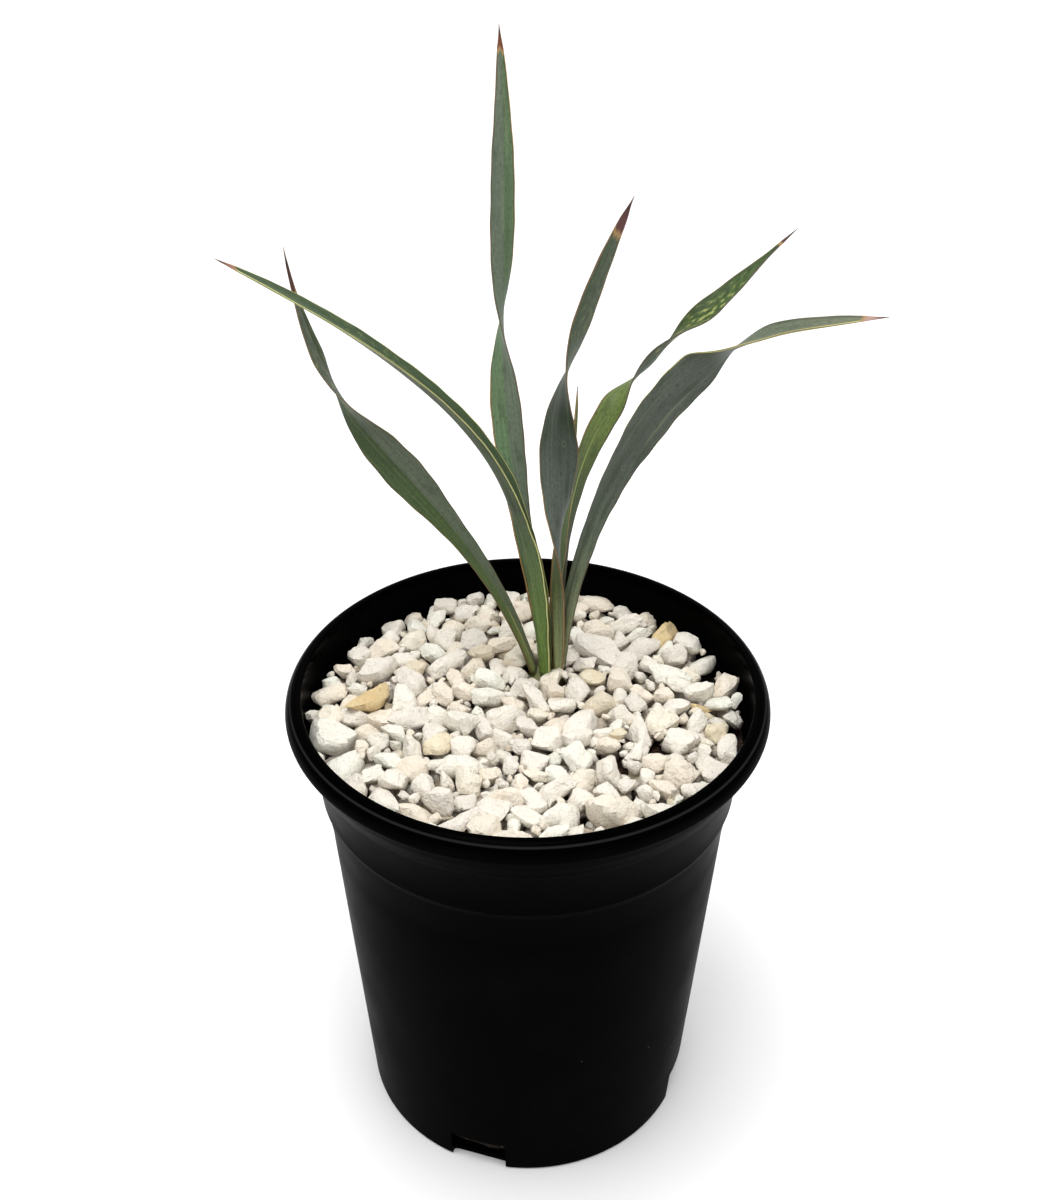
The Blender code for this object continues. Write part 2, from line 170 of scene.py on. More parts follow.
def grid_faces(rows, columns, wrap=True):
    """Quads between neighbouring rows of a grid of points; wrap joins the last column to the first."""
    row = np.arange(rows - 1)[:, None] * columns
    column = np.arange(columns if wrap else columns - 1)[None, :]
    after = (column + 1) % columns
    corners = [row + column, row + after, row + columns + after, row + columns + column]
    return np.stack(corners, axis=-1).reshape(-1, 4).tolist()


def turned(profile, columns):
    """Points of a profile of (radius, height) turned round the Z axis: x = r cos a, y = r sin a."""
    radius, height = np.asarray(profile, float).T
    around = np.linspace(0, 2 * np.pi, columns, endpoint=False)
    x = radius[:, None] * np.cos(around)
    y = radius[:, None] * np.sin(around)
    z = np.broadcast_to(height[:, None], x.shape)
    return np.stack([x, y, z], axis=-1).reshape(-1, 3)


def flare(foot, top):
    """Points up a wall that leans out more and more: its radius grows with the share of the height to the
    power of 1.5."""
    share = np.linspace(0.0, 1.0, 9)
    radius = foot[0] + (top[0] - foot[0]) * share**1.5
    return np.column_stack([radius, foot[1] + (top[1] - foot[1]) * share])


def quarter(centre, reach, start):
    """Points on a quarter of an ellipse about a centre, in degrees clockwise from straight up."""
    turn = np.radians(np.linspace(start, start + 90.0, 10))
    return np.column_stack([centre[0] + reach[0] * np.sin(turn), centre[1] + reach[1] * np.cos(turn)])


def inner_radius(height):
    """Radius of the pot's inside at a height: the wall's, up to where the rim's inner side is upright."""
    return np.minimum(np.interp(height, outside[:, 1], outside[:, 0]) - POT_WALL, RIM_INNER_RADIUS)


def resampled(points, place):
    """Points at these places on a line of points, which are counted in its points."""
    whole = np.arange(len(points))
    return np.stack([np.interp(place, whole, column) for column in points.T], axis=-1)


def softened(profile, most=4.0):
    """The same profile with points at most this many millimetres apart, so that the turned skin is fine."""
    profile = np.asarray(profile, float)
    steps = np.linalg.norm(np.diff(profile, axis=0), axis=1)
    counts = np.maximum(1, np.ceil(steps / most)).astype(int)
    place = np.concatenate([i + np.arange(n) / n for i, n in enumerate(counts)] + [[len(profile) - 1]])
    return resampled(profile, place)


# Satin black polypropylene: the moulding leaves a fine grain, and dust and stone powder cling to it. The rim
# is polished and free of dust, and darkened as painted shade; a thin bright line on it is a painted
# highlight.
plastic, tree = new_material("black_polypropylene")
place = add_node(tree, "ShaderNodeTexCoord").outputs["Object"]
height = add_node(tree, "ShaderNodeSeparateXYZ", [place]).outputs["Z"]
# Noises by the size of their features in millimetres, and their detail.
grain, waves, dust = (
    add_node(tree, "ShaderNodeTexNoise", {"Vector": place, "Scale": per_mm(size), "Detail": detail})
    for size, detail in ((0.9, 3.0), (38.0, 1.0), (26.0, 5.0))
)
speck = add_node(tree, "ShaderNodeTexVoronoi", {"Vector": place, "Scale": per_mm(17.0)})
# The painted highlight, a thin bright line, is where the roll's crown turns down.
off_painted_highlight = add_node(tree, "ShaderNodeMath", [height, PAINTED_HIGHLIGHT_HEIGHT * MM], operation="SUBTRACT").outputs[0]
off_painted_highlight = add_node(tree, "ShaderNodeMath", [off_painted_highlight], operation="ABSOLUTE").outputs[0]
on_painted_highlight = add_node(tree, "ShaderNodeMapRange", [off_painted_highlight, 0.0001, 0.0004, 0.6, 0.0]).outputs[0]
level = add_node(tree, "ShaderNodeVectorMath", [place, (1.0, 1.0, 0.0)], operation="MULTIPLY").outputs[0]
from_axis = add_node(tree, "ShaderNodeVectorMath", [level], operation="LENGTH").outputs["Value"]
colour = layered(
    tree,
    "#030303",
    [
        ("#100f0e", dust.outputs["Fac"], 0.5, 0.8, 0.0, 0.22),
        ("#b8b0a2", speck.outputs["Distance"], 0.01, 0.018, 0.3, 0.0),
        # The rim: polished, free of dust and darkened as painted shade.
        ("#010101", height, POLISH_AND_SHADE_START * MM, POLISH_AND_SHADE_FULL * MM, 0.0, 1.0),
        # Painted highlight: a thin bright line round the rim's crown.
        ("#2a2928", from_axis, PAINTED_HIGHLIGHT_RADIUS * MM, (PAINTED_HIGHLIGHT_RADIUS + 0.5) * MM, 0.0, on_painted_highlight),
    ],
)
satin = add_node(tree, "ShaderNodeMapRange", [dust.outputs["Fac"], 0.3, 0.7, 0.3, 0.42]).outputs[0]
polish = [height, POLISH_AND_SHADE_START * MM, POLISH_AND_SHADE_FULL * MM, satin, 0.17]
roughness = add_node(tree, "ShaderNodeMapRange", polish).outputs[0]
grain_bump = add_node(
    tree, "ShaderNodeBump", {"Height": grain.outputs["Fac"], "Strength": 0.12, "Distance": 0.0001}
).outputs[0]
wavy_bump = add_node(
    tree,
    "ShaderNodeBump",
    {"Height": waves.outputs["Fac"], "Strength": 0.25, "Distance": 0.0012, "Normal": grain_bump},
).outputs[0]
shader = add_node(
    tree,
    "ShaderNodeBsdfPrincipled",
    {
        "Base Color": colour,
        "Roughness": roughness,
        "IOR": 1.36,
        "Specular IOR Level": 0.006,
        "Normal": wavy_bump,
    },
)
add_node(tree, "ShaderNodeOutputMaterial", {"Surface": shader.outputs[0]})

outside = np.vstack(
    [
        [(BASE_RADIUS, BASE_ROUNDING)],
        flare(SHOULDER_FOOT, SHOULDER_TOP),
        flare((SHOULDER_TOP[0] + LEDGE, SHOULDER_TOP[1] + LEDGE), COLLAR_EDGE),
        [(COLLAR_EDGE[0] + LEDGE, COLLAR_EDGE[1] + LEDGE), RIM_FOOT],
    ]
)
inner_heights = np.concatenate([[POT_FLOOR], outside[1:, 1]])
crown_rounding = RIM_CROWN_RADIUS - RIM_INNER_RADIUS
crown_reach = (RIM_RADIUS - RIM_CROWN_RADIUS, POT_HEIGHT - RIM_WIDEST_HEIGHT)
under_reach = (RIM_RADIUS - RIM_FOOT[0], RIM_WIDEST_HEIGHT - RIM_FOOT[1])
rim = np.vstack(
    [
        quarter((RIM_CROWN_RADIUS, POT_HEIGHT - crown_rounding), (crown_rounding, crown_rounding), -90.0),
        quarter((RIM_CROWN_RADIUS, RIM_WIDEST_HEIGHT), crown_reach, 0.0),
        quarter((RIM_FOOT[0], RIM_WIDEST_HEIGHT), under_reach, 90.0),
    ]
)
pot_profile = np.vstack(
    [
        [(0.0, POT_FLOOR)],
        np.column_stack([inner_radius(inner_heights), inner_heights]),
        rim,
        outside[-2::-1],
        quarter((BASE_RADIUS - BASE_ROUNDING, BASE_ROUNDING), (BASE_ROUNDING, BASE_ROUNDING), 90.0)[1:],
        [(0.0, 0.0)],
    ]
)
pot_fine = softened(pot_profile)
pot = make_piece(
    "pot_moulding",
    turned(pot_fine, POT_COLUMNS),
    grid_faces(len(pot_fine), POT_COLUMNS),
    plastic,
    CRISP_ANGLE,
)

# The notches' cutters: boxes with their edges rounded, set round the foot of the wall.
for number in range(NOTCH_COUNT):
    heading = math.radians(NOTCH_FIRST_ANGLE + number * 360.0 / NOTCH_COUNT)
    bpy.ops.mesh.primitive_cube_add(
        size=1.0,
        location=(
            NOTCH_RADIUS * math.cos(heading) * MM,
            NOTCH_RADIUS * math.sin(heading) * MM,
            (NOTCH_HEIGHT - NOTCH_RUN_BELOW) / 2 * MM,
        ),
        rotation=(0.0, 0.0, heading),
        scale=(NOTCH_DEPTH * MM, NOTCH_WIDTH * MM, (NOTCH_HEIGHT + NOTCH_RUN_BELOW) * MM),
    )
    cutter = bpy.context.object
    bpy.ops.object.transform_apply(location=False, rotation=False, scale=True)
    rounding = cutter.modifiers.new("Rounded corners", "BEVEL")
    rounding.width = NOTCH_ROUNDING * MM
    rounding.segments = 3
    cut = pot.modifiers.new("Notch", "BOOLEAN")
    cut.operation = "DIFFERENCE"
    cut.object = cutter
    bpy.context.view_layer.update()
    cut_pot = bpy.data.meshes.new_from_object(pot.evaluated_get(bpy.context.evaluated_depsgraph_get()))
    pot.modifiers.clear()
    pot.data = cut_pot
    bpy.data.objects.remove(cutter)
pot.data.set_sharp_from_angle(angle=math.radians(CRISP_ANGLE))

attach(pot, "root")
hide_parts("pot")


# Potting mix: a damp blend of bark, peat and white grains that fills the pot up to the stones. It shows only
# in the drain notches and between stones, and is a turned body with an uneven skin.

MIX_TOP = 151.6
MIX_GAP = 0.4
# The least height of its skin, which keeps its lumps off the pot's floor.
MIX_LOWEST = 2.3
# Its foot is drawn in to a radius behind the notches, and it meets the wall this far above them.
MIX_FOOT_RADIUS = 55.0
MIX_SHOULDER = 3.0
MIX_COLUMNS = 120
# Lumps on its skin: their length, how deep they are at the side, and how near the axis they fade out.
LUMP_LENGTH = 9.0
LUMP_DEPTH = 0.8
LUMP_FADE = 8.0
# The underlay is the mix between the stones. The bed is the dome that the top stones' middles lie on.
UNDERLAY_FOOT = 152.4
UNDERLAY_DEPTH = 7.4
BED_RADIUS = 75.6
BED_CROWN = 167.6
BED_FALL = 0.8


def bed_height(x, y):
    """Height of the top stones' middles: a low dome, which falls with the squared distance from the axis."""
    return BED_CROWN - BED_FALL * (x**2 + y**2) / BED_RADIUS**2


def unit(vectors):
    """Vectors divided by their lengths."""
    return vectors / np.linalg.norm(vectors, axis=-1, keepdims=True)


def lumps(points, wavelength, seed, waves=12):
    """Smooth unevenness from about -1 to 1: sine waves that run in seeded directions through the points,
    each about one wavelength long, summed and divided by the root of their count."""
    draw = np.random.default_rng(seed)
    heading = unit(draw.normal(size=(waves, 3)))
    pace = 2 * np.pi / (wavelength * draw.uniform(0.7, 1.6, waves))
    phase = draw.uniform(0, 2 * np.pi, waves)
    return np.sin(points @ (heading * pace[:, None]).T + phase).sum(axis=-1) / waves**0.5


# Bark and peat: dark brown crumbs of 1 to 4 mm with a few white grains among them.
crumbs, tree = new_material("bark_and_peat")
place = add_node(tree, "ShaderNodeTexCoord").outputs["Object"]
crumb = add_node(tree, "ShaderNodeTexVoronoi", {"Vector": place, "Scale": per_mm(2.6)}).outputs
tone = add_node(
    tree,
    "ShaderNodeValToRGB",
    [crumb["Color"]],
    [(0, "#0e0805"), (45, "#24150b"), (80, "#3c2615"), (95, "#5a3f26")],
).outputs["Color"]
grain = add_node(tree, "ShaderNodeTexVoronoi", {"Vector": place, "Scale": per_mm(5.2)}).outputs["Distance"]
colour = layered(tree, tone, [("#cfc6b4", grain, 0.13, 0.2, 1.0, 0.0)])
crumb_bump = add_node(
    tree,
    "ShaderNodeBump",
    {"Height": crumb["Distance"], "Strength": 0.9, "Distance": 0.0012},
    invert=True,
).outputs[0]
shader = add_node(
    tree, "ShaderNodeBsdfPrincipled", {"Base Color": colour, "Roughness": 0.95, "Normal": crumb_bump}
)
add_node(tree, "ShaderNodeOutputMaterial", {"Surface": shader.outputs[0]})

wall_heights = np.arange(NOTCH_HEIGHT + MIX_SHOULDER, MIX_TOP, 8.0)
mix_profile = np.vstack(
    [
        [(0.0, POT_FLOOR + MIX_GAP), (MIX_FOOT_RADIUS, POT_FLOOR + MIX_GAP), (MIX_FOOT_RADIUS, NOTCH_HEIGHT)],
        np.column_stack([inner_radius(wall_heights) - MIX_GAP, wall_heights]),
        [(inner_radius(MIX_TOP) - MIX_GAP, MIX_TOP), (0.0, MIX_TOP)],
    ]
)
bed_radii = np.linspace(0.0, BED_RADIUS - 1.0, 9)
underlay_profile = np.vstack(
    [
        np.column_stack([bed_radii, bed_height(bed_radii, 0.0) - UNDERLAY_DEPTH]),
        [(inner_radius(UNDERLAY_FOOT) - MIX_GAP, UNDERLAY_FOOT), (0.0, UNDERLAY_FOOT)],
    ]
)
# Each body's profile, its node, its slot, and how deep its lumps are from above.
for name, profile, node, slot, depth in (
    ("potting_mix_body", mix_profile, "potting_mix", "potting_mix", 0.5),
    ("gravel_underlay", underlay_profile, "gravel", "potting_mix", 1.0),
):
    fine = softened(profile, 3.0)
    skin = turned(fine, MIX_COLUMNS)
    spread = np.linalg.norm(skin[:, :2], axis=1, keepdims=True)
    sideways = np.concatenate([skin[:, :2] / np.maximum(spread, 1.0), np.ones_like(spread)], axis=1)
    # From about 0 to -1, so that the skin only sinks in.
    unevenness = lumps(skin, LUMP_LENGTH, 3)[:, None] * 0.5 - 0.5
    unevenness = unevenness * np.minimum(spread / LUMP_FADE, 1.0)
    skin = skin + sideways * unevenness * [LUMP_DEPTH, LUMP_DEPTH, depth]
    skin[:, 2] = np.maximum(skin[:, 2], MIX_LOWEST)
    mix = make_piece(name, skin, grid_faces(len(fine), MIX_COLUMNS), crumbs)
    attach(mix, "root")
    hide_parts(node)


# Gravel: crushed white limestone, 4 to 21 mm, dry and dusty. The top stones touch, chips fill the gaps
# between them, and an even lower layer closes the bed.

# Discs that stones keep off, as x, y and radius: the leaves' feet, and places where a stone is missing and
# the mix shows.
TUFT = [(7.5, 27.5, 7.5), (1.0, 26.0, 3.2)]
OPENINGS = [(42, -18, 4.6), (27, -24, 4.6), (71, -10, 5), (-72, -9, 4), (64, 22, 4)]
# Each tint's colour, how much of its stones is stained, and its share of the stones.
TINTS = {
    "white": ("#fef7ea", 0.07, 0.46),
    "cream": ("#fbf0de", 0.12, 0.33),
    "grey": ("#f4ede1", 0.06, 0.17),
    "yellow": ("#f4e8cc", 0.20, 0.03),
    "beige": ("#ece0c8", 0.18, 0.008),
    "tan": ("#e8cf9e", 0.30, 0.002),
}
# How much lighter or darker than its tint a stone may be, and the lightest that any is.
TINT_VARIETY = (0.93, 1.03)
LIGHTEST = 0.96
# Stones lie in deep shade below the first of these heights, and are fully lit above the second.
SHADE_HEIGHTS = (160.0, 167.5)
STONE_SEED = 5
GOLDEN_ANGLE = math.pi * (3 - math.sqrt(5))
# How far top stones stray from their angles, in radians, and how far the outermost ones start inside the bed.
STRAY = 0.2
EDGE_ROOM = 4.0
STONE_COUNT = 178
# The usual length of a top stone, its spread as a share of it, and the least and the most.
STONE_LENGTH = 12.2
STONE_VARIETY = 0.25
STONE_LENGTHS = (7.0, 21.0)
# Its breadth as a share of its length, which falls with each mm that it is longer than usual, and its depth
# as a share of its breadth.
STONE_BREADTHS = (0.55, 0.9)
SLIMMING = 0.02
LEAST_BREADTH = 0.4
STONE_DEPTHS = (0.7, 0.9)
WALL_GAP = 0.3
# Stones are pushed apart as discs of this share of their reach, by this share of the overlap in each round.
DISC_SHARE = 0.84
PUSH = 0.35
PUSH_ROUNDS = 120
# A stone stays off leaf feet and openings by a share of their radius and of its reach, and it stays inside
# the bed by a share of its reach.
OPENING_SHARE = 0.6
REACH_AT_OPENING = 0.8
REACH_AT_WALL = 0.95
# The faces that cut a stone: six as on a box, skewed, and chipped ones. Their distances from its middle are
# shares of its half size, and its edges are the crisper the higher the power.
BOX_SKEW = 0.28
BOX_DEPTHS = (0.74, 1.0)
CHIPPED_FACES = 8
CHIPPED_DEPTHS = (0.56, 0.96)
EDGE_POWER = 20
# How much stones' roughness sticks out, and the length of its waves.
STONE_LUMPS = 0.28
STONE_LUMP_LENGTH = 4.6
# How far middles of top stones, chips and lower stones may lie from the bed's height.
TOP_OFFSETS = (-1.2, 1.1)
CHIP_OFFSETS = (-2.0, 0.8)
LOWER_OFFSETS = (-6.0, -4.4)
# How far each kind usually leans, in radians.
TOP_LEAN = 0.2
CHIP_LEAN = 0.5
LOWER_LEAN = 0.35
# How far chips and lower stones turn at most: a whole turn, or nearly.
CHIP_TURN = 2 * np.pi
LOWER_TURN = 6.28
# Columns and rows of points on a top stone and on a smaller one.
TOP_GRID = (20, 13)
SMALL_GRID = (10, 7)
STONE_CRISP_ANGLE = 34
CHIP_COUNT = 230
# Places tried for chips, how far a chip runs under its neighbours, its least and most reach, and its length,
# breadth and depth as shares of that.
CHIP_TRIES = 9000
CHIP_OVERLAP = 1.1
CHIP_REACH = (1.6, 4.4)
CHIP_SHAPE = np.array([2.3, 1.7, 1.4])
LOWER_COUNT = 300
LOWER_LENGTHS = (8.0, 11.5)
LOWER_SHAPE = np.array([1.0, 0.8, 0.62])
LOWER_CLEARANCE = 2.5


def sunflower(angle):
    """Places on plan at these angles, whose distance from the axis grows with the root of their number, so
    that they cover the bed evenly."""
    share = (np.arange(len(angle)) + 0.5) / len(angle)
    radius = (BED_RADIUS - EDGE_ROOM) * np.sqrt(share)
    return np.stack([radius * np.cos(angle), radius * np.sin(angle)], axis=1)


def clearance(plan):
    """How far places on plan are from the edge of the nearest leaf foot or opening."""
    return np.min([np.hypot(*(plan - [x, y]).T) - radius for x, y, radius in TUFT + OPENINGS], axis=0)


def spread_apart(place, reach):
    """Stones as discs pushed off each other, off the leaves and openings and inside the wall. Each round
    moves every pair that overlaps apart by a share of its overlap."""
    for _ in range(PUSH_ROUNDS):
        # No stone is near itself, and no distance is 0.
        between = place[:, None] - place[None]
        distance = np.linalg.norm(between, axis=2) + np.eye(len(place)) * 1e6 + 1e-6
        overlap = np.maximum(DISC_SHARE * (reach[:, None] + reach[None]) - distance, 0)
        place = place + (between / distance[..., None] * overlap[..., None] * PUSH).sum(axis=1)
        for x, y, radius in TUFT + OPENINGS:
            away = place - [x, y]
            off = np.linalg.norm(away, axis=1) + 1e-6
            apart = radius * OPENING_SHARE + reach * REACH_AT_OPENING
            place = place + away / off[:, None] * np.maximum(apart - off, 0)[:, None]
        out = np.linalg.norm(place, axis=1) + 1e-6
        limit = BED_RADIUS - reach * REACH_AT_WALL
        place = place * np.minimum(1.0, limit / out)[:, None]
    return place


def stone_skins(place, size, turn, lean, columns, rows, draw):
    """All stones' points at once. A stone is a ball cut back by flat faces: in each direction its radius is
    the soft minimum of the distances to its cutting planes. It is then stretched to its length, breadth and
    depth, leaned, turned and moved to its place."""
    polar = np.linspace(0, np.pi, rows)[:, None]
    around = np.linspace(0, 2 * np.pi, columns, endpoint=False)[None]
    ball = np.stack(
        np.broadcast_arrays(np.sin(polar) * np.cos(around), np.sin(polar) * np.sin(around), np.cos(polar)),
        axis=-1,
    ).reshape(-1, 3)
    count = len(place)
    box = np.concatenate([np.eye(3), -np.eye(3)])[None] + draw.normal(0, BOX_SKEW, (count, 6, 3))
    chipped = draw.normal(size=(count, CHIPPED_FACES, 3))
    cuts = unit(np.concatenate([box, chipped], axis=1))
    box_depth = draw.uniform(*BOX_DEPTHS, (count, 6))
    chipped_depth = draw.uniform(*CHIPPED_DEPTHS, (count, CHIPPED_FACES))
    depth = np.concatenate([box_depth, chipped_depth], axis=1)
    facing = np.maximum(np.einsum("nkc,gc->nkg", cuts, ball), 0.0) / depth[..., None]
    radius = (facing**EDGE_POWER).sum(axis=1) ** (-1 / EDGE_POWER)
    points = ball[None] * radius[..., None] * (size / 2)[:, None]
    roughness = STONE_LUMPS * lumps(points + place[:, None], STONE_LUMP_LENGTH, 8)
    points = points + roughness[..., None] * ball[None]
    for angle, first, second in ((lean[:, 0], 2, 0), (lean[:, 1], 2, 1), (turn, 0, 1)):
        cos, sin = np.cos(angle)[:, None], np.sin(angle)[:, None]
        along, side = points[..., first].copy(), points[..., second].copy()
        points[..., first] = along * cos - side * sin
        points[..., second] = along * sin + side * cos
    return points + place[:, None]


# Crushed limestone: matt and powdery, off-white with tan staining that follows no edge, and a sugary grain.
limestone, tree = new_material("crushed_limestone")
place = add_node(tree, "ShaderNodeTexCoord").outputs["Object"]
height = add_node(tree, "ShaderNodeSeparateXYZ", [place]).outputs["Z"]
tint = add_node(tree, "ShaderNodeAttribute", attribute_name="tint").outputs["Color"]
stain = add_node(tree, "ShaderNodeAttribute", attribute_name="stain").outputs["Fac"]
# Noises by the size of their features in millimetres, their detail and their roughness.
patches, mottle, grit, pits = (
    add_node(
        tree,
        "ShaderNodeTexNoise",
        {"Vector": place, "Scale": per_mm(size), "Detail": detail, "Roughness": roughness},
    ).outputs["Fac"]
    for size, detail, roughness in ((7.0, 4.0, 0.6), (1.5, 4.0, 0.65), (0.8, 5.0, 0.7), (3.0, 3.0, 0.6))
)
colour = layered(
    tree,
    tint,
    [
        ("#dcb474", patches, 0.46, 0.7, 0.0, stain),
        ("#a89f8e", mottle, 0.3, 0.7, 0.1, 0.0),
        ("#5f4730", height, SHADE_HEIGHTS[0] * MM, SHADE_HEIGHTS[1] * MM, 0.9, 0.0),
    ],
)
grit_bump = add_node(
    tree, "ShaderNodeBump", {"Height": grit, "Strength": 0.9, "Distance": 0.0008}
).outputs[0]
pit_bump = add_node(
    tree, "ShaderNodeBump", {"Height": pits, "Strength": 0.8, "Distance": 0.0022, "Normal": grit_bump}
).outputs[0]
shader = add_node(
    tree,
    "ShaderNodeBsdfPrincipled",
    {"Base Color": colour, "Roughness": 0.88, "Specular IOR Level": 0.3, "Normal": pit_bump},
)
add_node(tree, "ShaderNodeOutputMaterial", {"Surface": shader.outputs[0]})

draw = np.random.default_rng(STONE_SEED)
top_length = draw.lognormal(math.log(STONE_LENGTH), STONE_VARIETY, STONE_COUNT)
top_length = np.clip(top_length, *STONE_LENGTHS)
top_breadth = draw.uniform(*STONE_BREADTHS, STONE_COUNT) - SLIMMING * (top_length - STONE_LENGTH)
top_breadth = np.clip(top_breadth, LEAST_BREADTH, STONE_BREADTHS[1])
top_depth = top_breadth * draw.uniform(*STONE_DEPTHS, STONE_COUNT)
top_size = top_length[:, None] * np.column_stack([np.ones(STONE_COUNT), top_breadth, top_depth])
top_plan = sunflower(np.arange(STONE_COUNT) * GOLDEN_ANGLE + draw.uniform(-STRAY, STRAY, STONE_COUNT))
top_reach = (top_size[:, 0] + top_size[:, 1]) / 4
top_plan = spread_apart(top_plan, top_reach)
top_turn = draw.uniform(0, 2 * np.pi, STONE_COUNT)
top_height = bed_height(*top_plan.T) + draw.uniform(*TOP_OFFSETS, STONE_COUNT)
top_lean = draw.normal(0, TOP_LEAN, (STONE_COUNT, 2))

# Chips: the smallest stones, dropped one by one into the widest gap that is left.
chip_plan, chip_size = [], []
candidates = draw.uniform(-BED_RADIUS, BED_RADIUS, (CHIP_TRIES, 2))
candidates = candidates[np.linalg.norm(candidates, axis=1) < BED_RADIUS - EDGE_ROOM / 2]
room = (np.linalg.norm(candidates[:, None] - top_plan[None], axis=2) - top_reach[None]).min(axis=1)
room = np.minimum(room, clearance(candidates))
for _ in range(CHIP_COUNT):
    best = int(np.argmax(room))
    reach = min(max(room[best] + CHIP_OVERLAP, CHIP_REACH[0]), CHIP_REACH[1])
    chip_plan.append(candidates[best])
    chip_size.append(reach * CHIP_SHAPE)
    room = np.minimum(room, np.linalg.norm(candidates - candidates[best], axis=1) - reach)
chip_plan, chip_size = np.array(chip_plan), np.array(chip_size)
chip_height = bed_height(*chip_plan.T) + draw.uniform(*CHIP_OFFSETS, CHIP_COUNT)

# Lower layer: even stones in sunflower spacing that close the bed.
lower_plan = sunflower(np.arange(LOWER_COUNT) * GOLDEN_ANGLE)
lower_size = draw.uniform(*LOWER_LENGTHS, (LOWER_COUNT, 1)) * LOWER_SHAPE
lower_height = bed_height(*lower_plan.T) + draw.uniform(*LOWER_OFFSETS, LOWER_COUNT)
kept = clearance(lower_plan) > LOWER_CLEARANCE
lower_plan, lower_size, lower_height = lower_plan[kept], lower_size[kept], lower_height[kept]


def stone_group(plan, height, size, turn, lean, columns, rows):
    """Points and faces of a set of stones, held inside the wall, and each point's stone."""
    skins = stone_skins(np.column_stack([plan, height]), size, turn, lean, columns, rows, draw)
    from_axis = np.linalg.norm(skins[..., :2], axis=2)
    wall = inner_radius(skins[..., 2]) - WALL_GAP
    skins[..., :2] *= np.minimum(1.0, wall / from_axis)[..., None]
    one = np.asarray(grid_faces(rows, columns))
    faces = (one[None] + (np.arange(len(plan)) * rows * columns)[:, None, None]).reshape(-1, 4)
    return skins.reshape(-1, 3), faces, np.repeat(np.arange(len(plan)), rows * columns)


def small_group(plan, height, size, most_turn, usual_lean):
    """A set of small stones, turned and leaned at random."""
    turn = draw.uniform(0, most_turn, len(plan))
    lean = draw.normal(0, usual_lean, (len(plan), 2))
    return stone_group(plan, height, size, turn, lean, *SMALL_GRID)


groups = [
    stone_group(top_plan, top_height, top_size, top_turn, top_lean, *TOP_GRID),
    small_group(chip_plan, chip_height, chip_size, CHIP_TURN, CHIP_LEAN),
    small_group(lower_plan, lower_height, lower_size, LOWER_TURN, LOWER_LEAN),
]
every_stone = STONE_COUNT + CHIP_COUNT + len(lower_plan)
chosen = draw.choice(list(TINTS), every_stone, p=[share for _, _, share in TINTS.values()])
stone_tint = np.array([linear(TINTS[tint_name][0])[:3] for tint_name in chosen])
stone_tint = np.minimum(stone_tint * draw.uniform(*TINT_VARIETY, (every_stone, 1)), LIGHTEST)
stone_stain = np.array([TINTS[tint_name][1] for tint_name in chosen])

points, faces, owners, stones_before, points_before = [], [], [], 0, 0
for skin, quads, owner in groups:
    points.append(skin)
    faces.append(quads + points_before)
    owners.append(owner + stones_before)
    points_before += len(skin)
    stones_before += owner[-1] + 1
owner = np.concatenate(owners)

gravel = make_piece(
    "gravel_stones",
    np.vstack(points),
    np.vstack(faces).tolist(),
    limestone,
    STONE_CRISP_ANGLE,
    {"tint": np.column_stack([stone_tint[owner], np.ones(len(owner))]), "stain": stone_stain[owner]},
)
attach(gravel, "root")
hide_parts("gravel")


# Stem: the short, fleshy, pale green base that the leaves sheathe, sunk among the stones, with its root in
# the mix. It is turned from one profile and has shallow ribs.

STEM_AXIS = (6.4, 27.2)
STEM_COLUMNS = 40
# Its ribs, and how far they stand out as a share of its radius.
RIB_COUNT = 5
RIB_HEIGHT = 0.06
# It is brown up to the first of these heights, and green above the second.
GREENING_HEIGHTS = (158.0, 166.0)
# Places on its outside, as (radius, height).
STEM_PROFILE = [
    (0.0, 165.4), (3.4, 165.2), (5.6, 164.2), (6.6, 162.0), (7.0, 158.0),
    (6.2, 151.0), (4.2, 140.0), (2.2, 124.0), (0.0, 112.4),
]

# Fleshy stem base: pale green and smooth, browner where it goes into the ground.
flesh, tree = new_material("stem_flesh")
place = add_node(tree, "ShaderNodeTexCoord").outputs["Object"]
height = add_node(tree, "ShaderNodeSeparateXYZ", [place]).outputs["Z"]
greening = [height, GREENING_HEIGHTS[0] * MM, GREENING_HEIGHTS[1] * MM, 0.0, 1.0]
colour = layered(tree, "#5a4128", [("#6f7446", *greening)])
fibre = add_node(tree, "ShaderNodeTexNoise", {"Vector": place, "Scale": per_mm(1.2), "Detail": 3.0})
fibre_bump = add_node(
    tree, "ShaderNodeBump", {"Height": fibre.outputs["Fac"], "Strength": 0.4, "Distance": 0.0004}
).outputs[0]
shader = add_node(
    tree, "ShaderNodeBsdfPrincipled", {"Base Color": colour, "Roughness": 0.6, "Normal": fibre_bump}
)
add_node(tree, "ShaderNodeOutputMaterial", {"Surface": shader.outputs[0]})

stem_fine = softened(STEM_PROFILE, 2.0)
stem_skin = turned(stem_fine, STEM_COLUMNS)
ribs = 1 + RIB_HEIGHT * np.cos(RIB_COUNT * np.arctan2(stem_skin[:, 1], stem_skin[:, 0]))
stem_skin = stem_skin * np.column_stack([ribs, ribs, np.ones_like(ribs)]) + [*STEM_AXIS, 0.0]
stem = make_piece("stem_base", stem_skin, grid_faces(len(stem_fine), STEM_COLUMNS), flesh)
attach(stem, "root")
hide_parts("stem")


# Leaves: thick, waxy straps that fold along the midrib and twist. Each is a closed blade lofted along its
# midrib, with a horny yellow-brown margin and a dry brown tip.

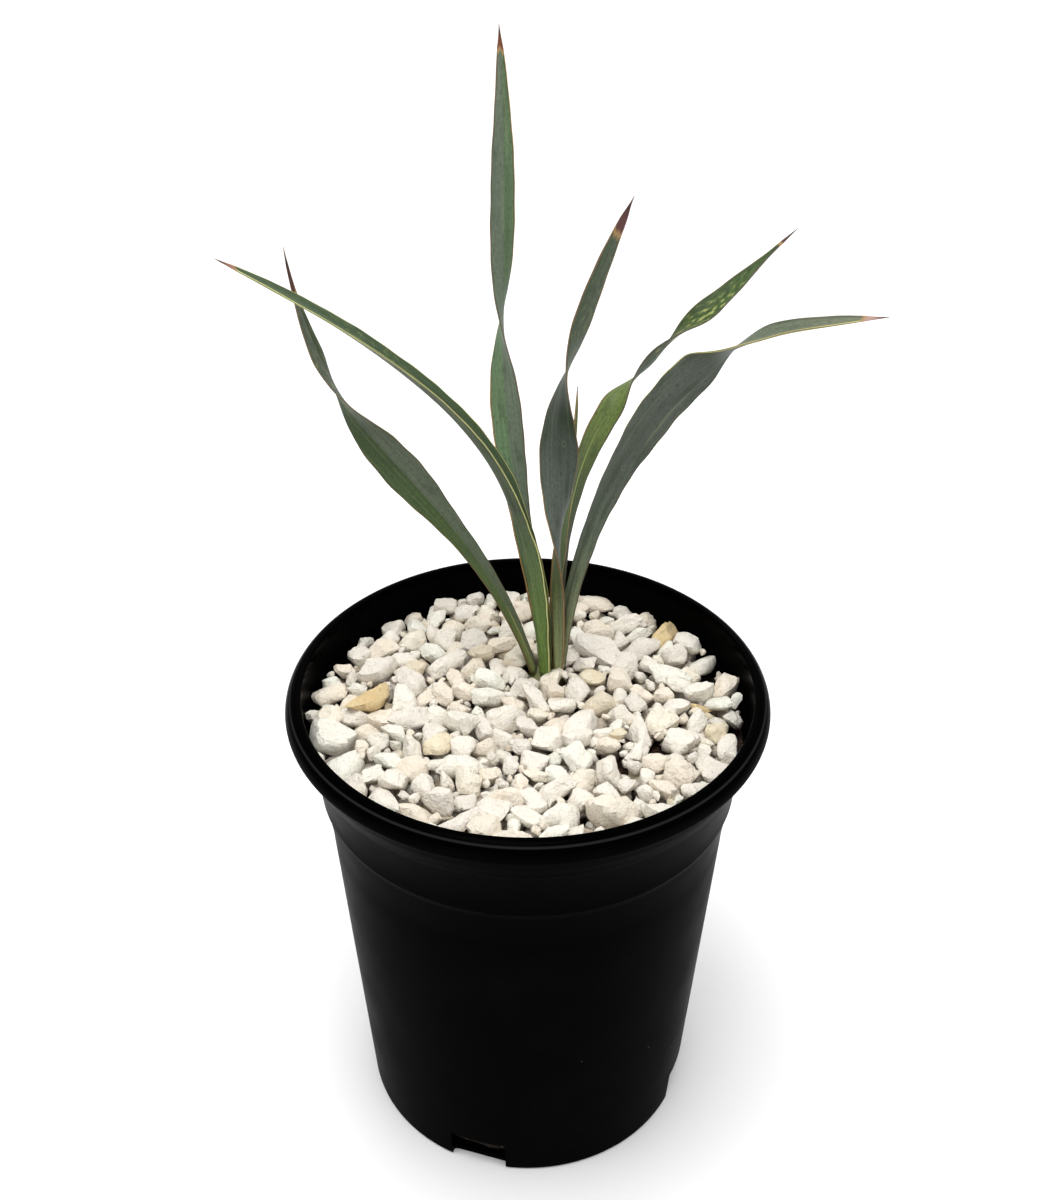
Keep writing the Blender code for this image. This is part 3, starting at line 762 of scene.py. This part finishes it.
# The photograph looks down at this angle, and FRONT points back along its line of sight.
VIEW_TILT = math.radians(34.0)
FRONT = np.array([0.0, -math.cos(VIEW_TILT), math.sin(VIEW_TILT)])
BLADE_ROWS = 150
BLADE_COLUMNS = 36
LEAF_FOOT = 166.0
# A blade's thickness, and what its foot adds, which fades over a length.
BLADE_THICKNESS = 0.42
FOOT_THICKNESS = 0.55
FOOT_FADE = 28.0
LEAST_HALF_WIDTH = 0.3
# The most that it is thick, as a share of its half width.
THICKEST = 0.8
# Lengths over which the tip narrows and thins, and the shares that are left at its very end.
NARROWING = (9.0, 0.25)
THINNING = (30.0, 0.35)
# How round the keel is, as a squared share of the half width.
KEEL_ROUNDING = 0.03
# Steps in which the values along a leaf are worked out, and half the steps of their rounding off.
FINE_STEPS = 241
ROUNDING = 9

# Each leaf as it grew. foot is where it stands on plan and length runs along its midrib, in mm. The other
# rows are stops of (percent of the length, value): the midrib's heading in degrees, 0 to the right and 90 to
# the back, its lean from the vertical, the half width in mm, and the blade's twist and fold in degrees. A
# twist of 0 turns the blade's face to FRONT.
LEAVES = {
    "arching_left": {
        "foot": (5.2, 24.8),
        "length": 220,
        "heading": [(0, 215), (100, 215)],
        "lean": [(0, 6), (24, 11), (34, 18), (46, 31), (60, 41), (80, 48), (100, 54)],
        "width": [
            (0, 4.6), (8, 5.8), (19, 7.7), (30, 6.4), (40, 6.4), (60, 5.4), (80, 3.9), (92, 2.2), (100, 0.4),
        ],
        "twist": [(0, -76), (16, -80), (25, -90), (38, -76), (70, -66), (100, -50)],
        "fold": [(0, 62), (14, 66), (25, 60), (40, 46), (70, 32), (100, 6)],
    },
    "low_left": {
        "foot": (2, 26),
        "length": 177,
        "heading": [(0, 172), (100, 172)],
        "lean": [(0, 16), (15, 24), (35, 36), (50, 39), (62, 38), (75, 23), (100, 6)],
        "width": [
            (0, 2), (32, 4.5), (42, 5.6), (51, 6.8), (62, 5.6), (80, 3.7), (87, 2.2), (92, 1), (100, 0.4),
        ],
        "twist": [(0, -50), (32, -42), (45, -20), (58, 16), (71, 90), (79, 126), (100, 120)],
        "fold": [(0, 16), (40, 10), (100, 6)],
    },
    "tall": {
        "foot": (6.6, 32.8),
        "length": 219,
        "heading": [(0, 145), (30, 138), (50, 108), (65, 82), (85, 92), (100, 108)],
        "lean": [(0, 12), (30, 11), (50, 9), (100, 11)],
        "width": [
            (0, 1.8), (15, 2.6), (28, 3.8), (42, 5.8), (52, 5.6), (65, 4.7), (80, 4.2), (90, 2.6), (100, 0.4),
        ],
        "twist": [(0, -20), (25, -5), (42, 18), (50, 40), (58, 90), (66, 138), (75, 157), (100, 156)],
        "fold": [(0, 20), (40, 10), (100, 5)],
    },
    "centre_right": {
        "foot": (11.1, 24.7),
        "length": 188,
        "heading": [(0, 262), (35, 256), (52, 262), (60, 310), (72, 328), (100, 332)],
        "lean": [(0, 3), (52, 5), (66, 13), (80, 19), (100, 24)],
        "width": [
            (0, 1.8), (14, 2.4), (28, 4.2), (38, 5.2), (48, 6.6), (60, 5.4), (75, 3.9), (88, 2.6), (100, 0.4),
        ],
        "twist": [
            (0, 0), (15, 25), (28, 88), (38, 142), (48, 184), (58, 222), (66, 270), (75, 314), (100, 335),
        ],
        "fold": [(0, 14), (40, 9), (100, 5)],
    },
    "young": {
        "foot": (8, 30.2),
        "length": 108,
        "heading": [(0, 50), (100, 40)],
        "lean": [(0, 1), (30, 6), (60, 11), (85, 6), (100, 0)],
        "width": [(0, 1.3), (25, 2), (43, 3.1), (60, 2.4), (75, 1.2), (100, 0.4)],
        "twist": [(0, -35), (100, -40)],
        "fold": [(0, 26), (100, 12)],
    },
    "right_back": {
        "foot": (10.4, 31.7),
        "length": 188,
        "heading": [(0, 85), (30, 62), (55, 35), (100, 25)],
        "lean": [(0, 8), (20, 12), (35, 26), (50, 47), (62, 55), (74, 63), (85, 56), (100, 56)],
        "width": [(0, 2), (20, 3.8), (42, 5), (60, 3.8), (75, 4.8), (85, 3.2), (92, 1), (100, 0.4)],
        "twist": [
            (0, -75), (25, -74), (38, -52), (50, -22), (58, 88), (63, 118), (68, 90), (76, 28), (100, 36),
        ],
        "fold": [(0, 25), (35, 13), (100, 5)],
    },
    "right_front": {
        "foot": (11.2, 28),
        "length": 205,
        "heading": [(0, 300), (25, 318), (55, 326), (76, 335), (100, 337)],
        "lean": [(0, 6), (15, 12), (30, 17), (45, 24), (57, 30), (67, 38), (76, 54), (86, 69), (100, 74)],
        "width": [
            (0, 2.4), (15, 3.3), (30, 4.4), (58, 6.6), (67, 6.2), (76, 4.8), (84, 5), (92, 3.2), (100, 0.4),
        ],
        "twist": [
            (0, 204), (18, 226), (32, 230), (46, 220), (60, 200), (69, 184), (75, 96), (82, 56), (100, 50),
        ],
        "fold": [(0, 20), (50, 10), (76, 8), (86, 28), (100, 16)],
    },
}

# Looks of each leaf. channel and outer colour its two faces by percent of the length. Then come the halves'
# grey bloom, the two margins' colours and widths in mm, how many times wider they are in the last quarter,
# how mottled the last third is, which also sets how dark its first half there is painted in shade, the line
# along the midrib, with its share of the length, and the tip's colour and the length in mm that it has dried
# back. Of each pair, the second is the half or margin that is on the right when the blade faces the front.
# What a leaf doesn't say is as in PLAIN_LOOK.
PLAIN_LOOK = {"bloom": (0.0, 0.0), "widening": 1.0, "mottling_and_shade": 0.0, "midrib": None}
LEAF_LOOKS = {
    "arching_left": {
        "channel": [(0, "#5a6a35"), (30, "#374a2b"), (100, "#3c4f33")],
        "outer": [(0, "#647c3a"), (12, "#5c763a"), (22, "#566a42"), (34, "#4a5543"), (100, "#464e3b")],
        "margins": ("#d4d890", "#a4a458"),
        "margin_widths": (0.5, 0.4),
        "mottling_and_shade": 0.2,
        "tip": ("#8a6250", 7.0),
    },
    "low_left": {
        "channel": [(0, "#7c8450"), (14, "#56663a"), (30, "#44552f"), (50, "#384828"), (100, "#2c3a22")],
        "outer": [(0, "#46573b"), (50, "#314118"), (100, "#243216")],
        "bloom": (0.0, 0.5),
        "margins": ("#6c6238", "#7a6848"),
        "margin_widths": (0.3, 0.3),
        "mottling_and_shade": 0.3,
        "midrib": ("#a0a062", 0.17),
        "tip": ("#4a2c22", 16.0),
    },
    "tall": {
        "channel": [(0, "#66703f"), (20, "#5e7655"), (100, "#5a7150")],
        "outer": [(0, "#586f4c"), (60, "#4c6242"), (100, "#52684a")],
        "bloom": (0.0, 0.6),
        "margins": ("#b08850", "#7a5c40"),
        "margin_widths": (0.45, 0.25),
        "tip": ("#6a3d28", 8.0),
    },
    "centre_right": {
        "channel": [(0, "#869064"), (20, "#6c7850"), (35, "#4c5b42"), (70, "#404c38"), (100, "#465240")],
        "outer": [(0, "#545b51"), (30, "#606860"), (46, "#48524a"), (58, "#2e382c"), (100, "#4c5446")],
        "bloom": (0.0, 0.2),
        "margins": ("#8c6c4c", "#a5855c"),
        "margin_widths": (0.3, 0.35),
        "mottling_and_shade": 0.2,
        "tip": ("#5a3834", 14.0),
    },
    "young": {
        "channel": [(0, "#3e4a2c"), (35, "#4e5e3c"), (50, "#5c6c48"), (100, "#566538")],
        "outer": [(0, "#4a5634"), (50, "#616b44"), (100, "#616b44")],
        "margins": ("#a58a55", "#a58a55"),
        "margin_widths": (0.35, 0.35),
        "tip": ("#6a5a3a", 3.0),
    },
    "right_back": {
        # Its channel darkens towards the foot as painted shade.
        "channel": [
            (0, "#2c2e1c"), (24, "#2f331f"), (36, "#46532f"), (48, "#5c6c36"), (58, "#5c6c36"),
            (66, "#4c5a26"), (74, "#3e501c"), (84, "#38501e"), (100, "#2c3a1c"),
        ],
        "outer": [(0, "#3c4636"), (100, "#3c4636")],
        "margins": ("#7c6a3c", "#544c3a"),
        "margin_widths": (0.4, 0.35),
        "mottling_and_shade": 1.0,
        "midrib": ("#8d9a52", 0.5),
        "tip": ("#4a2e26", 9.0),
    },
    "right_front": {
        "channel": [(0, "#50564c"), (80, "#525e48"), (100, "#666a54")],
        "outer": [(0, "#8c9669"), (16, "#747f60"), (32, "#566152"), (45, "#454c42"), (100, "#40473e")],
        "bloom": (0.15, 0.15),
        "margins": ("#5c5640", "#c6c07c"),
        "margin_widths": (0.2, 0.35),
        "widening": 3.0,
        "midrib": ("#454a40", 0.6),
        "tip": ("#a08078", 8.0),
    },
}


def eased(stops, count):
    """A value along a leaf: straight between its stops, then rounded off by a running mean, whose weights
    fall off as a raised cosine."""
    share, value = np.array(stops, float).T
    raw = np.interp(np.linspace(0, 100, FINE_STEPS), share, value)
    before = 2 * raw[0] - raw[ROUNDING:0:-1]
    after = 2 * raw[-1] - raw[-2 : -ROUNDING - 2 : -1]
    weights = np.hanning(2 * ROUNDING + 3)[1:-1]
    smooth = np.convolve(np.concatenate([before, raw, after]), weights / weights.sum(), "valid")
    return np.interp(np.linspace(0, 1, count), np.linspace(0, 1, FINE_STEPS), smooth)


def midrib(leaf, count):
    """Points along a leaf's midrib: from its foot it goes in even steps, each leaning from the vertical by
    the leaf's lean, towards its heading."""
    lean = np.radians(eased(leaf["lean"], FINE_STEPS))
    heading = np.radians(eased(leaf["heading"], FINE_STEPS))
    way = np.stack([np.sin(lean) * np.cos(heading), np.sin(lean) * np.sin(heading), np.cos(lean)], axis=-1)
    steps = (way[1:] + way[:-1]) / 2 * leaf["length"] / (FINE_STEPS - 1)
    points = np.vstack([[0, 0, 0], np.cumsum(steps, axis=0)]) + [*leaf["foot"], LEAF_FOOT]
    return resampled(points, np.linspace(0, FINE_STEPS - 1, count))


def tapered(to_tip, reach, least):
    """A share that falls towards the tip in even measure, from 1 to the least."""
    return np.clip(least + to_tip / reach, least, 1.0)


def blade_skin(leaf, seed):
    """Points of a closed blade, row by row, and for each point its place across and along the blade, its
    distance to the margin, to the tip, and whether it lies on the outer face.

    Round a row, the share t across the blade is cos u, and the skin stands off the blade's middle by its
    thickness times |sin u| to the power of 0.75. The middle is a V with a rounded keel, whose arms rise by
    the fold."""
    spine = midrib(leaf, BLADE_ROWS)
    half_width = np.maximum(eased(leaf["width"], BLADE_ROWS), LEAST_HALF_WIDTH)
    turn = np.radians(eased(leaf["twist"], BLADE_ROWS))[:, None]
    fold = np.radians(eased(leaf["fold"], BLADE_ROWS))
    along = unit(np.gradient(spine, axis=0))
    level = unit(np.cross(along, FRONT))
    facing = np.cross(level, along)
    across = level * np.cos(turn) + facing * np.sin(turn)
    face = facing * np.cos(turn) - level * np.sin(turn)
    step = np.linalg.norm(np.diff(spine, axis=0), axis=1)
    length = np.concatenate([[0.0], np.cumsum(step)])
    to_tip = length[-1] - length
    half_width = half_width * tapered(to_tip, *NARROWING)
    thick = BLADE_THICKNESS + FOOT_THICKNESS * np.exp(-length / FOOT_FADE)
    thick = np.minimum(thick * tapered(to_tip, *THINNING), half_width * THICKEST)

    round_row = 2 * np.pi * np.arange(BLADE_COLUMNS) / BLADE_COLUMNS
    t, side = np.cos(round_row), np.sin(round_row)
    keel = np.sqrt(t**2 + KEEL_ROUNDING) - math.sqrt(KEEL_ROUNDING)
    slope = t / np.sqrt(t**2 + KEEL_ROUNDING)
    # The margins ripple by up to 3.5 percent, in waves 27 and 12 mm long.
    ripple = 1 + 0.02 * np.sin(length / 4.3 + seed) + 0.015 * np.sin(length / 1.9 + 2.0 * seed)
    reach = half_width * ripple
    sideways = (reach * np.cos(fold))[:, None] * t
    raised = (reach * np.sin(fold))[:, None] * keel
    lens = np.abs(side) ** 0.75 * np.sign(side)
    off = thick[:, None] * lens
    tilt = fold[:, None] * slope
    skin = (
        spine[:, None]
        + (sideways - off * np.sin(tilt))[..., None] * across[:, None]
        + (raised + off * np.cos(tilt))[..., None] * face[:, None]
    )
    spread = np.broadcast_to
    grid = (BLADE_ROWS, BLADE_COLUMNS)
    readings = {
        "across_mm": half_width[:, None] * t,
        "along_mm": spread(length[:, None], grid),
        "edge_mm": half_width[:, None] * (1 - np.abs(t)),
        "tip_mm": spread(to_tip[:, None], grid),
        "share": spread((length / length[-1])[:, None], grid),
        "outer_face": spread(0.5 - 0.5 * np.clip(side * 6, -1, 1), grid),
    }
    return skin, readings


# Patterns on a blade: how many features they have per mm across and along it and from face to face, and their
# detail.
BLADE_PATTERNS = {
    "veins": ((1.5, 0.02, 3.0), 3.0),
    "streaks": ((0.75, 0.014, 5.0), 2.0),
    "blotches": ((0.3, 0.07, 3.0), 5.0),
    "mottle": ((1.6, 0.7, 3.0), 5.0),
    "dashes": ((2.2, 0.45, 7.0), 2.0),
    "patches": ((0.75, 0.3, 3.0), 6.0),
}
# The halves' looks meet along the midrib, within these places across the blade in mm.
HALVES_MEET = (-0.25, 0.25)


def waxy_leaf(name, look):
    """Living leaf under a wax bloom, which greys the green and gives a soft gloss. Fine veins 0.7 mm apart
    and wider streaks run along the blade, and it has blotches, dark dashes, pale scars, horny margins with a
    dark line of painted shade beside them, and a dried tip behind a tan band."""
    finish, tree = new_material("waxy_leaf_" + name)
    across, along, edge, tip, outer_face, share = (
        add_node(tree, "ShaderNodeAttribute", attribute_name=key).outputs["Fac"]
        for key in ("across_mm", "along_mm", "edge_mm", "tip_mm", "outer_face", "share")
    )
    on_blade = add_node(tree, "ShaderNodeCombineXYZ", [across, along, outer_face]).outputs[0]
    patterns = {}
    for key, (scale, detail) in BLADE_PATTERNS.items():
        squeezed = add_node(tree, "ShaderNodeMapping", {"Vector": on_blade, "Scale": scale}).outputs[0]
        inputs = {"Vector": squeezed, "Scale": 1.0, "Detail": detail}
        patterns[key] = add_node(tree, "ShaderNodeTexNoise", inputs).outputs["Fac"]
    veins, streaks, blotches, mottle, dashes, patches = patterns.values()

    channel, outer = (
        add_node(tree, "ShaderNodeValToRGB", [share], look[face]).outputs["Color"]
        for face in ("channel", "outer")
    )
    two_faces = (outer, outer_face, 0.0, 1.0, 0.0, 1.0)
    colour = layered(tree, channel, [two_faces, ("#62665e", across, *HALVES_MEET, *look["bloom"])])
    for reading, least, most in ((veins, 0.87, 1.13), (mottle, 0.82, 1.2)):
        tone = add_node(tree, "ShaderNodeMapRange", [reading, 0.3, 0.7, least, most]).outputs[0]
        inputs = {"Factor": 1.0, "A": colour, "B": tone}
        mixed = add_node(tree, "ShaderNodeMix", inputs, data_type="RGBA", blend_type="MULTIPLY")
        colour = mixed.outputs["Result"]

    # Layers on all that. First come streaks, blotches and dashes.
    layers = [
        ("#2c3826", streaks, 0.55, 0.75, 0.0, 0.2),
        ("#8f9a72", streaks, 0.4, 0.26, 0.0, 0.22),
        ("#26311f", blotches, 0.52, 0.72, 0.0, 0.5),
        ("#1f2617", dashes, 0.63, 0.7, 0.0, 0.7),
    ]

    # Mottling of the last third: yellow patches and dark green ones. Its first half is also darkened there
    # as painted shade.
    yellow, dark, half_in_painted_shade = (
        add_node(tree, "ShaderNodeMapRange", [share, 0.62, 0.68, 0.0, most * look["mottling_and_shade"]]).outputs[0]
        for most in (0.7, 0.8, 0.75)
    )
    yellow = add_node(tree, "ShaderNodeMapRange", [share, 0.78, 0.9, yellow, 0.0]).outputs[0]
    layers += [
        ("#a3a860", patches, 0.46, 0.36, 0.0, yellow),
        ("#22350f", patches, 0.52, 0.62, 0.0, dark),
        # Painted shade on the first half.
        ("#22350f", across, 0.5, -3.0, 0.0, half_in_painted_shade),
    ]

    # Scars: one pale ring or brown spot in some of the cells that the blade is divided into.
    squeezed = add_node(tree, "ShaderNodeMapping", {"Vector": on_blade, "Scale": (0.16, 0.09, 3.0)})
    scar = add_node(tree, "ShaderNodeTexVoronoi", {"Vector": squeezed.outputs[0], "Scale": 1.0}).outputs
    pick = add_node(tree, "ShaderNodeSeparateXYZ", [scar["Color"]]).outputs
    brown = add_node(tree, "ShaderNodeMapRange", [pick["X"], 0.6, 0.61, 0.0, 0.8]).outputs[0]
    pale = add_node(tree, "ShaderNodeMapRange", [pick["Y"], 0.7, 0.71, 0.0, 0.14]).outputs[0]
    ring = add_node(tree, "ShaderNodeMapRange", [scar["Distance"], 0.1, 0.13, pale, 0.0]).outputs[0]
    layers += [
        ("#4a2f1c", scar["Distance"], 0.035, 0.055, brown, 0.0),
        ("#a8ad84", scar["Distance"], 0.075, 0.1, 0.0, ring),
    ]

    # The midrib's line, on its share of the length, where a leaf has one.
    if look["midrib"]:
        rib_colour, rib_end = look["midrib"]
        rib = add_node(tree, "ShaderNodeMapRange", [share, rib_end, rib_end * 0.8, 0.0, 0.75]).outputs[0]
        off_rib = add_node(tree, "ShaderNodeMath", [across], operation="ABSOLUTE").outputs[0]
        layers += [(rib_colour, off_rib, 0.2, 0.55, rib, 0.0)]

    # The margins: their width wavers, a dark line of painted shade runs beside them, and their very edge
    # is browner.
    ragged = add_node(tree, "ShaderNodeMapRange", [blotches, 0.3, 0.7, -0.14, 0.14]).outputs[0]
    edge = add_node(tree, "ShaderNodeMath", [edge, ragged], operation="ADD").outputs[0]
    width = add_node(tree, "ShaderNodeMapRange", [across, *HALVES_MEET, *look["margin_widths"]]).outputs[0]
    wider = add_node(tree, "ShaderNodeMapRange", [share, 0.72, 0.8, 1.0, look["widening"]]).outputs[0]
    width = add_node(tree, "ShaderNodeMath", [width, wider], operation="MULTIPLY").outputs[0]
    in_widths = add_node(tree, "ShaderNodeMath", [edge, width], operation="DIVIDE").outputs[0]
    left_margin, right_margin = look["margins"]
    margin = layered(tree, left_margin, [(right_margin, across, *HALVES_MEET, 0.0, 1.0)])
    layers += [
        # Painted shade: a dark line just inside each margin.
        ("#28321f", in_widths, 1.9, 1.2, 0.0, 0.55),
        (margin, in_widths, 0.65, 1.05, 0.94, 0.0),
        ("#4a3826", in_widths, 0.1, 0.5, 0.75, 0.0),
    ]

    # The tip: a tan band, then dark brown, and grey at the very point.
    tip_colour, dried = look["tip"]
    wavering = add_node(tree, "ShaderNodeMapRange", [streaks, 0.3, 0.7, -0.15 * dried, 0.15 * dried])
    to_tip = add_node(tree, "ShaderNodeMath", [tip, wavering.outputs[0]], operation="ADD").outputs[0]
    on_tip = add_node(tree, "ShaderNodeMapRange", [to_tip, 0.0, dried, 0.0, 1.0]).outputs[0]
    tip_stops = [(0, "#8a7468"), (20, "#3e2822"), (60, tip_colour), (80, tip_colour), (90, "#9a7c52")]
    tip_tone = add_node(tree, "ShaderNodeValToRGB", [on_tip], tip_stops).outputs["Color"]
    layers += [(tip_tone, to_tip, dried * 0.92, dried * 1.06, 1.0, 0.0)]
    colour = layered(tree, colour, layers)

    vein_bump = add_node(tree, "ShaderNodeBump", {"Height": veins, "Strength": 0.45, "Distance": 0.0002})
    wide_bump = add_node(
        tree,
        "ShaderNodeBump",
        {"Height": streaks, "Strength": 0.4, "Distance": 0.0006, "Normal": vein_bump.outputs[0]},
    )
    gloss = add_node(tree, "ShaderNodeMapRange", [mottle, 0.3, 0.7, 0.45, 0.6])
    shader = add_node(
        tree,
        "ShaderNodeBsdfPrincipled",
        {
            "Base Color": colour,
            "Roughness": gloss.outputs[0],
            "Specular IOR Level": 0.25,
            "Normal": wide_bump.outputs[0],
        },
    )
    add_node(tree, "ShaderNodeOutputMaterial", {"Surface": shader.outputs[0]})
    return finish


for number, (name, leaf_shape) in enumerate(LEAVES.items()):
    skin, readings = blade_skin(leaf_shape, number + 1.0)
    quads = grid_faces(BLADE_ROWS, BLADE_COLUMNS)
    last = (BLADE_ROWS - 1) * BLADE_COLUMNS
    caps = [list(range(BLADE_COLUMNS))[::-1], list(range(last, last + BLADE_COLUMNS))]
    leaf = make_piece(
        "leaf_blade_" + name,
        skin.reshape(-1, 3),
        quads + caps,
        waxy_leaf(name, PLAIN_LOOK | LEAF_LOOKS[name]),
        None,
        {key: values.ravel() for key, values in readings.items()},
    )
    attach(leaf, "root")
    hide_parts("leaf_" + name)


# Setting: a plain, matt, pale floor just under the pot's foot, soft light from above and all round, and the
# camera at the photograph's angle.

floor_material, tree = new_material("pale_floor")
shader = add_node(tree, "ShaderNodeBsdfPrincipled", {"Base Color": linear("#fafafa"), "Roughness": 0.9})
add_node(tree, "ShaderNodeOutputMaterial", {"Surface": shader.outputs[0]})

# In metres: how far the floor runs from the pot, and its height, just under the pot's foot.
FLOOR_REACH = 6.0
FLOOR_HEIGHT = -0.0003
floor_mesh = bpy.data.meshes.new("floor")
floor_mesh.from_pydata(
    [(x * FLOOR_REACH, y * FLOOR_REACH, FLOOR_HEIGHT) for x, y in ((-1, -1), (1, -1), (1, 1), (-1, 1))],
    [],
    [(0, 1, 2, 3)],
)
floor_mesh.materials.append(floor_material)
floor = placed("floor", floor_mesh)

world = bpy.data.worlds.new("studio")
bpy.context.scene.world = world
world.use_nodes = True
surroundings = world.node_tree.nodes["Background"].inputs
surroundings["Color"].default_value = (1.0, 1.0, 1.0, 1.0)
surroundings["Strength"].default_value = 0.86

# Soft lights: name, place, what each is aimed at, size and power.
for name, spot, aim, size, power in (
    ("overhead", (-0.15, -0.2, 1.5), (0.0, 0.0, 0.15), 0.7, 12.0),
    ("fill", (0.9, -0.9, 0.9), (0.0, 0.0, 0.15), 1.0, 2.0),
    ("far_floor", (0.0, 1.7, 1.5), (0.0, 1.7, 0.0), 1.8, 10.0),
):
    lamp = bpy.data.lights.new(name, "AREA")
    lamp.size = size
    lamp.energy = power
    light = placed(name, lamp)
    light.location = spot
    light.rotation_euler = (Vector(aim) - Vector(spot)).to_track_quat("-Z", "Y").to_euler()

# The camera's place in metres, which with its tilt and lens is fitted to the pot's outline in the photograph.
CAMERA_PLACE = (-0.00145, -0.4358, 0.5083)
camera_data = bpy.data.cameras.new("camera")
camera_data.lens = 48.0
camera_data.sensor_width = 36.0
camera_data.clip_start = 0.01
camera_data.clip_end = 50.0
camera = placed("camera", camera_data)
camera.location = CAMERA_PLACE
camera.rotation_euler = (math.radians(90.0) - VIEW_TILT, 0.0, 0.0)
bpy.context.scene.camera = camera
bpy.context.scene.view_settings.view_transform = "Standard"
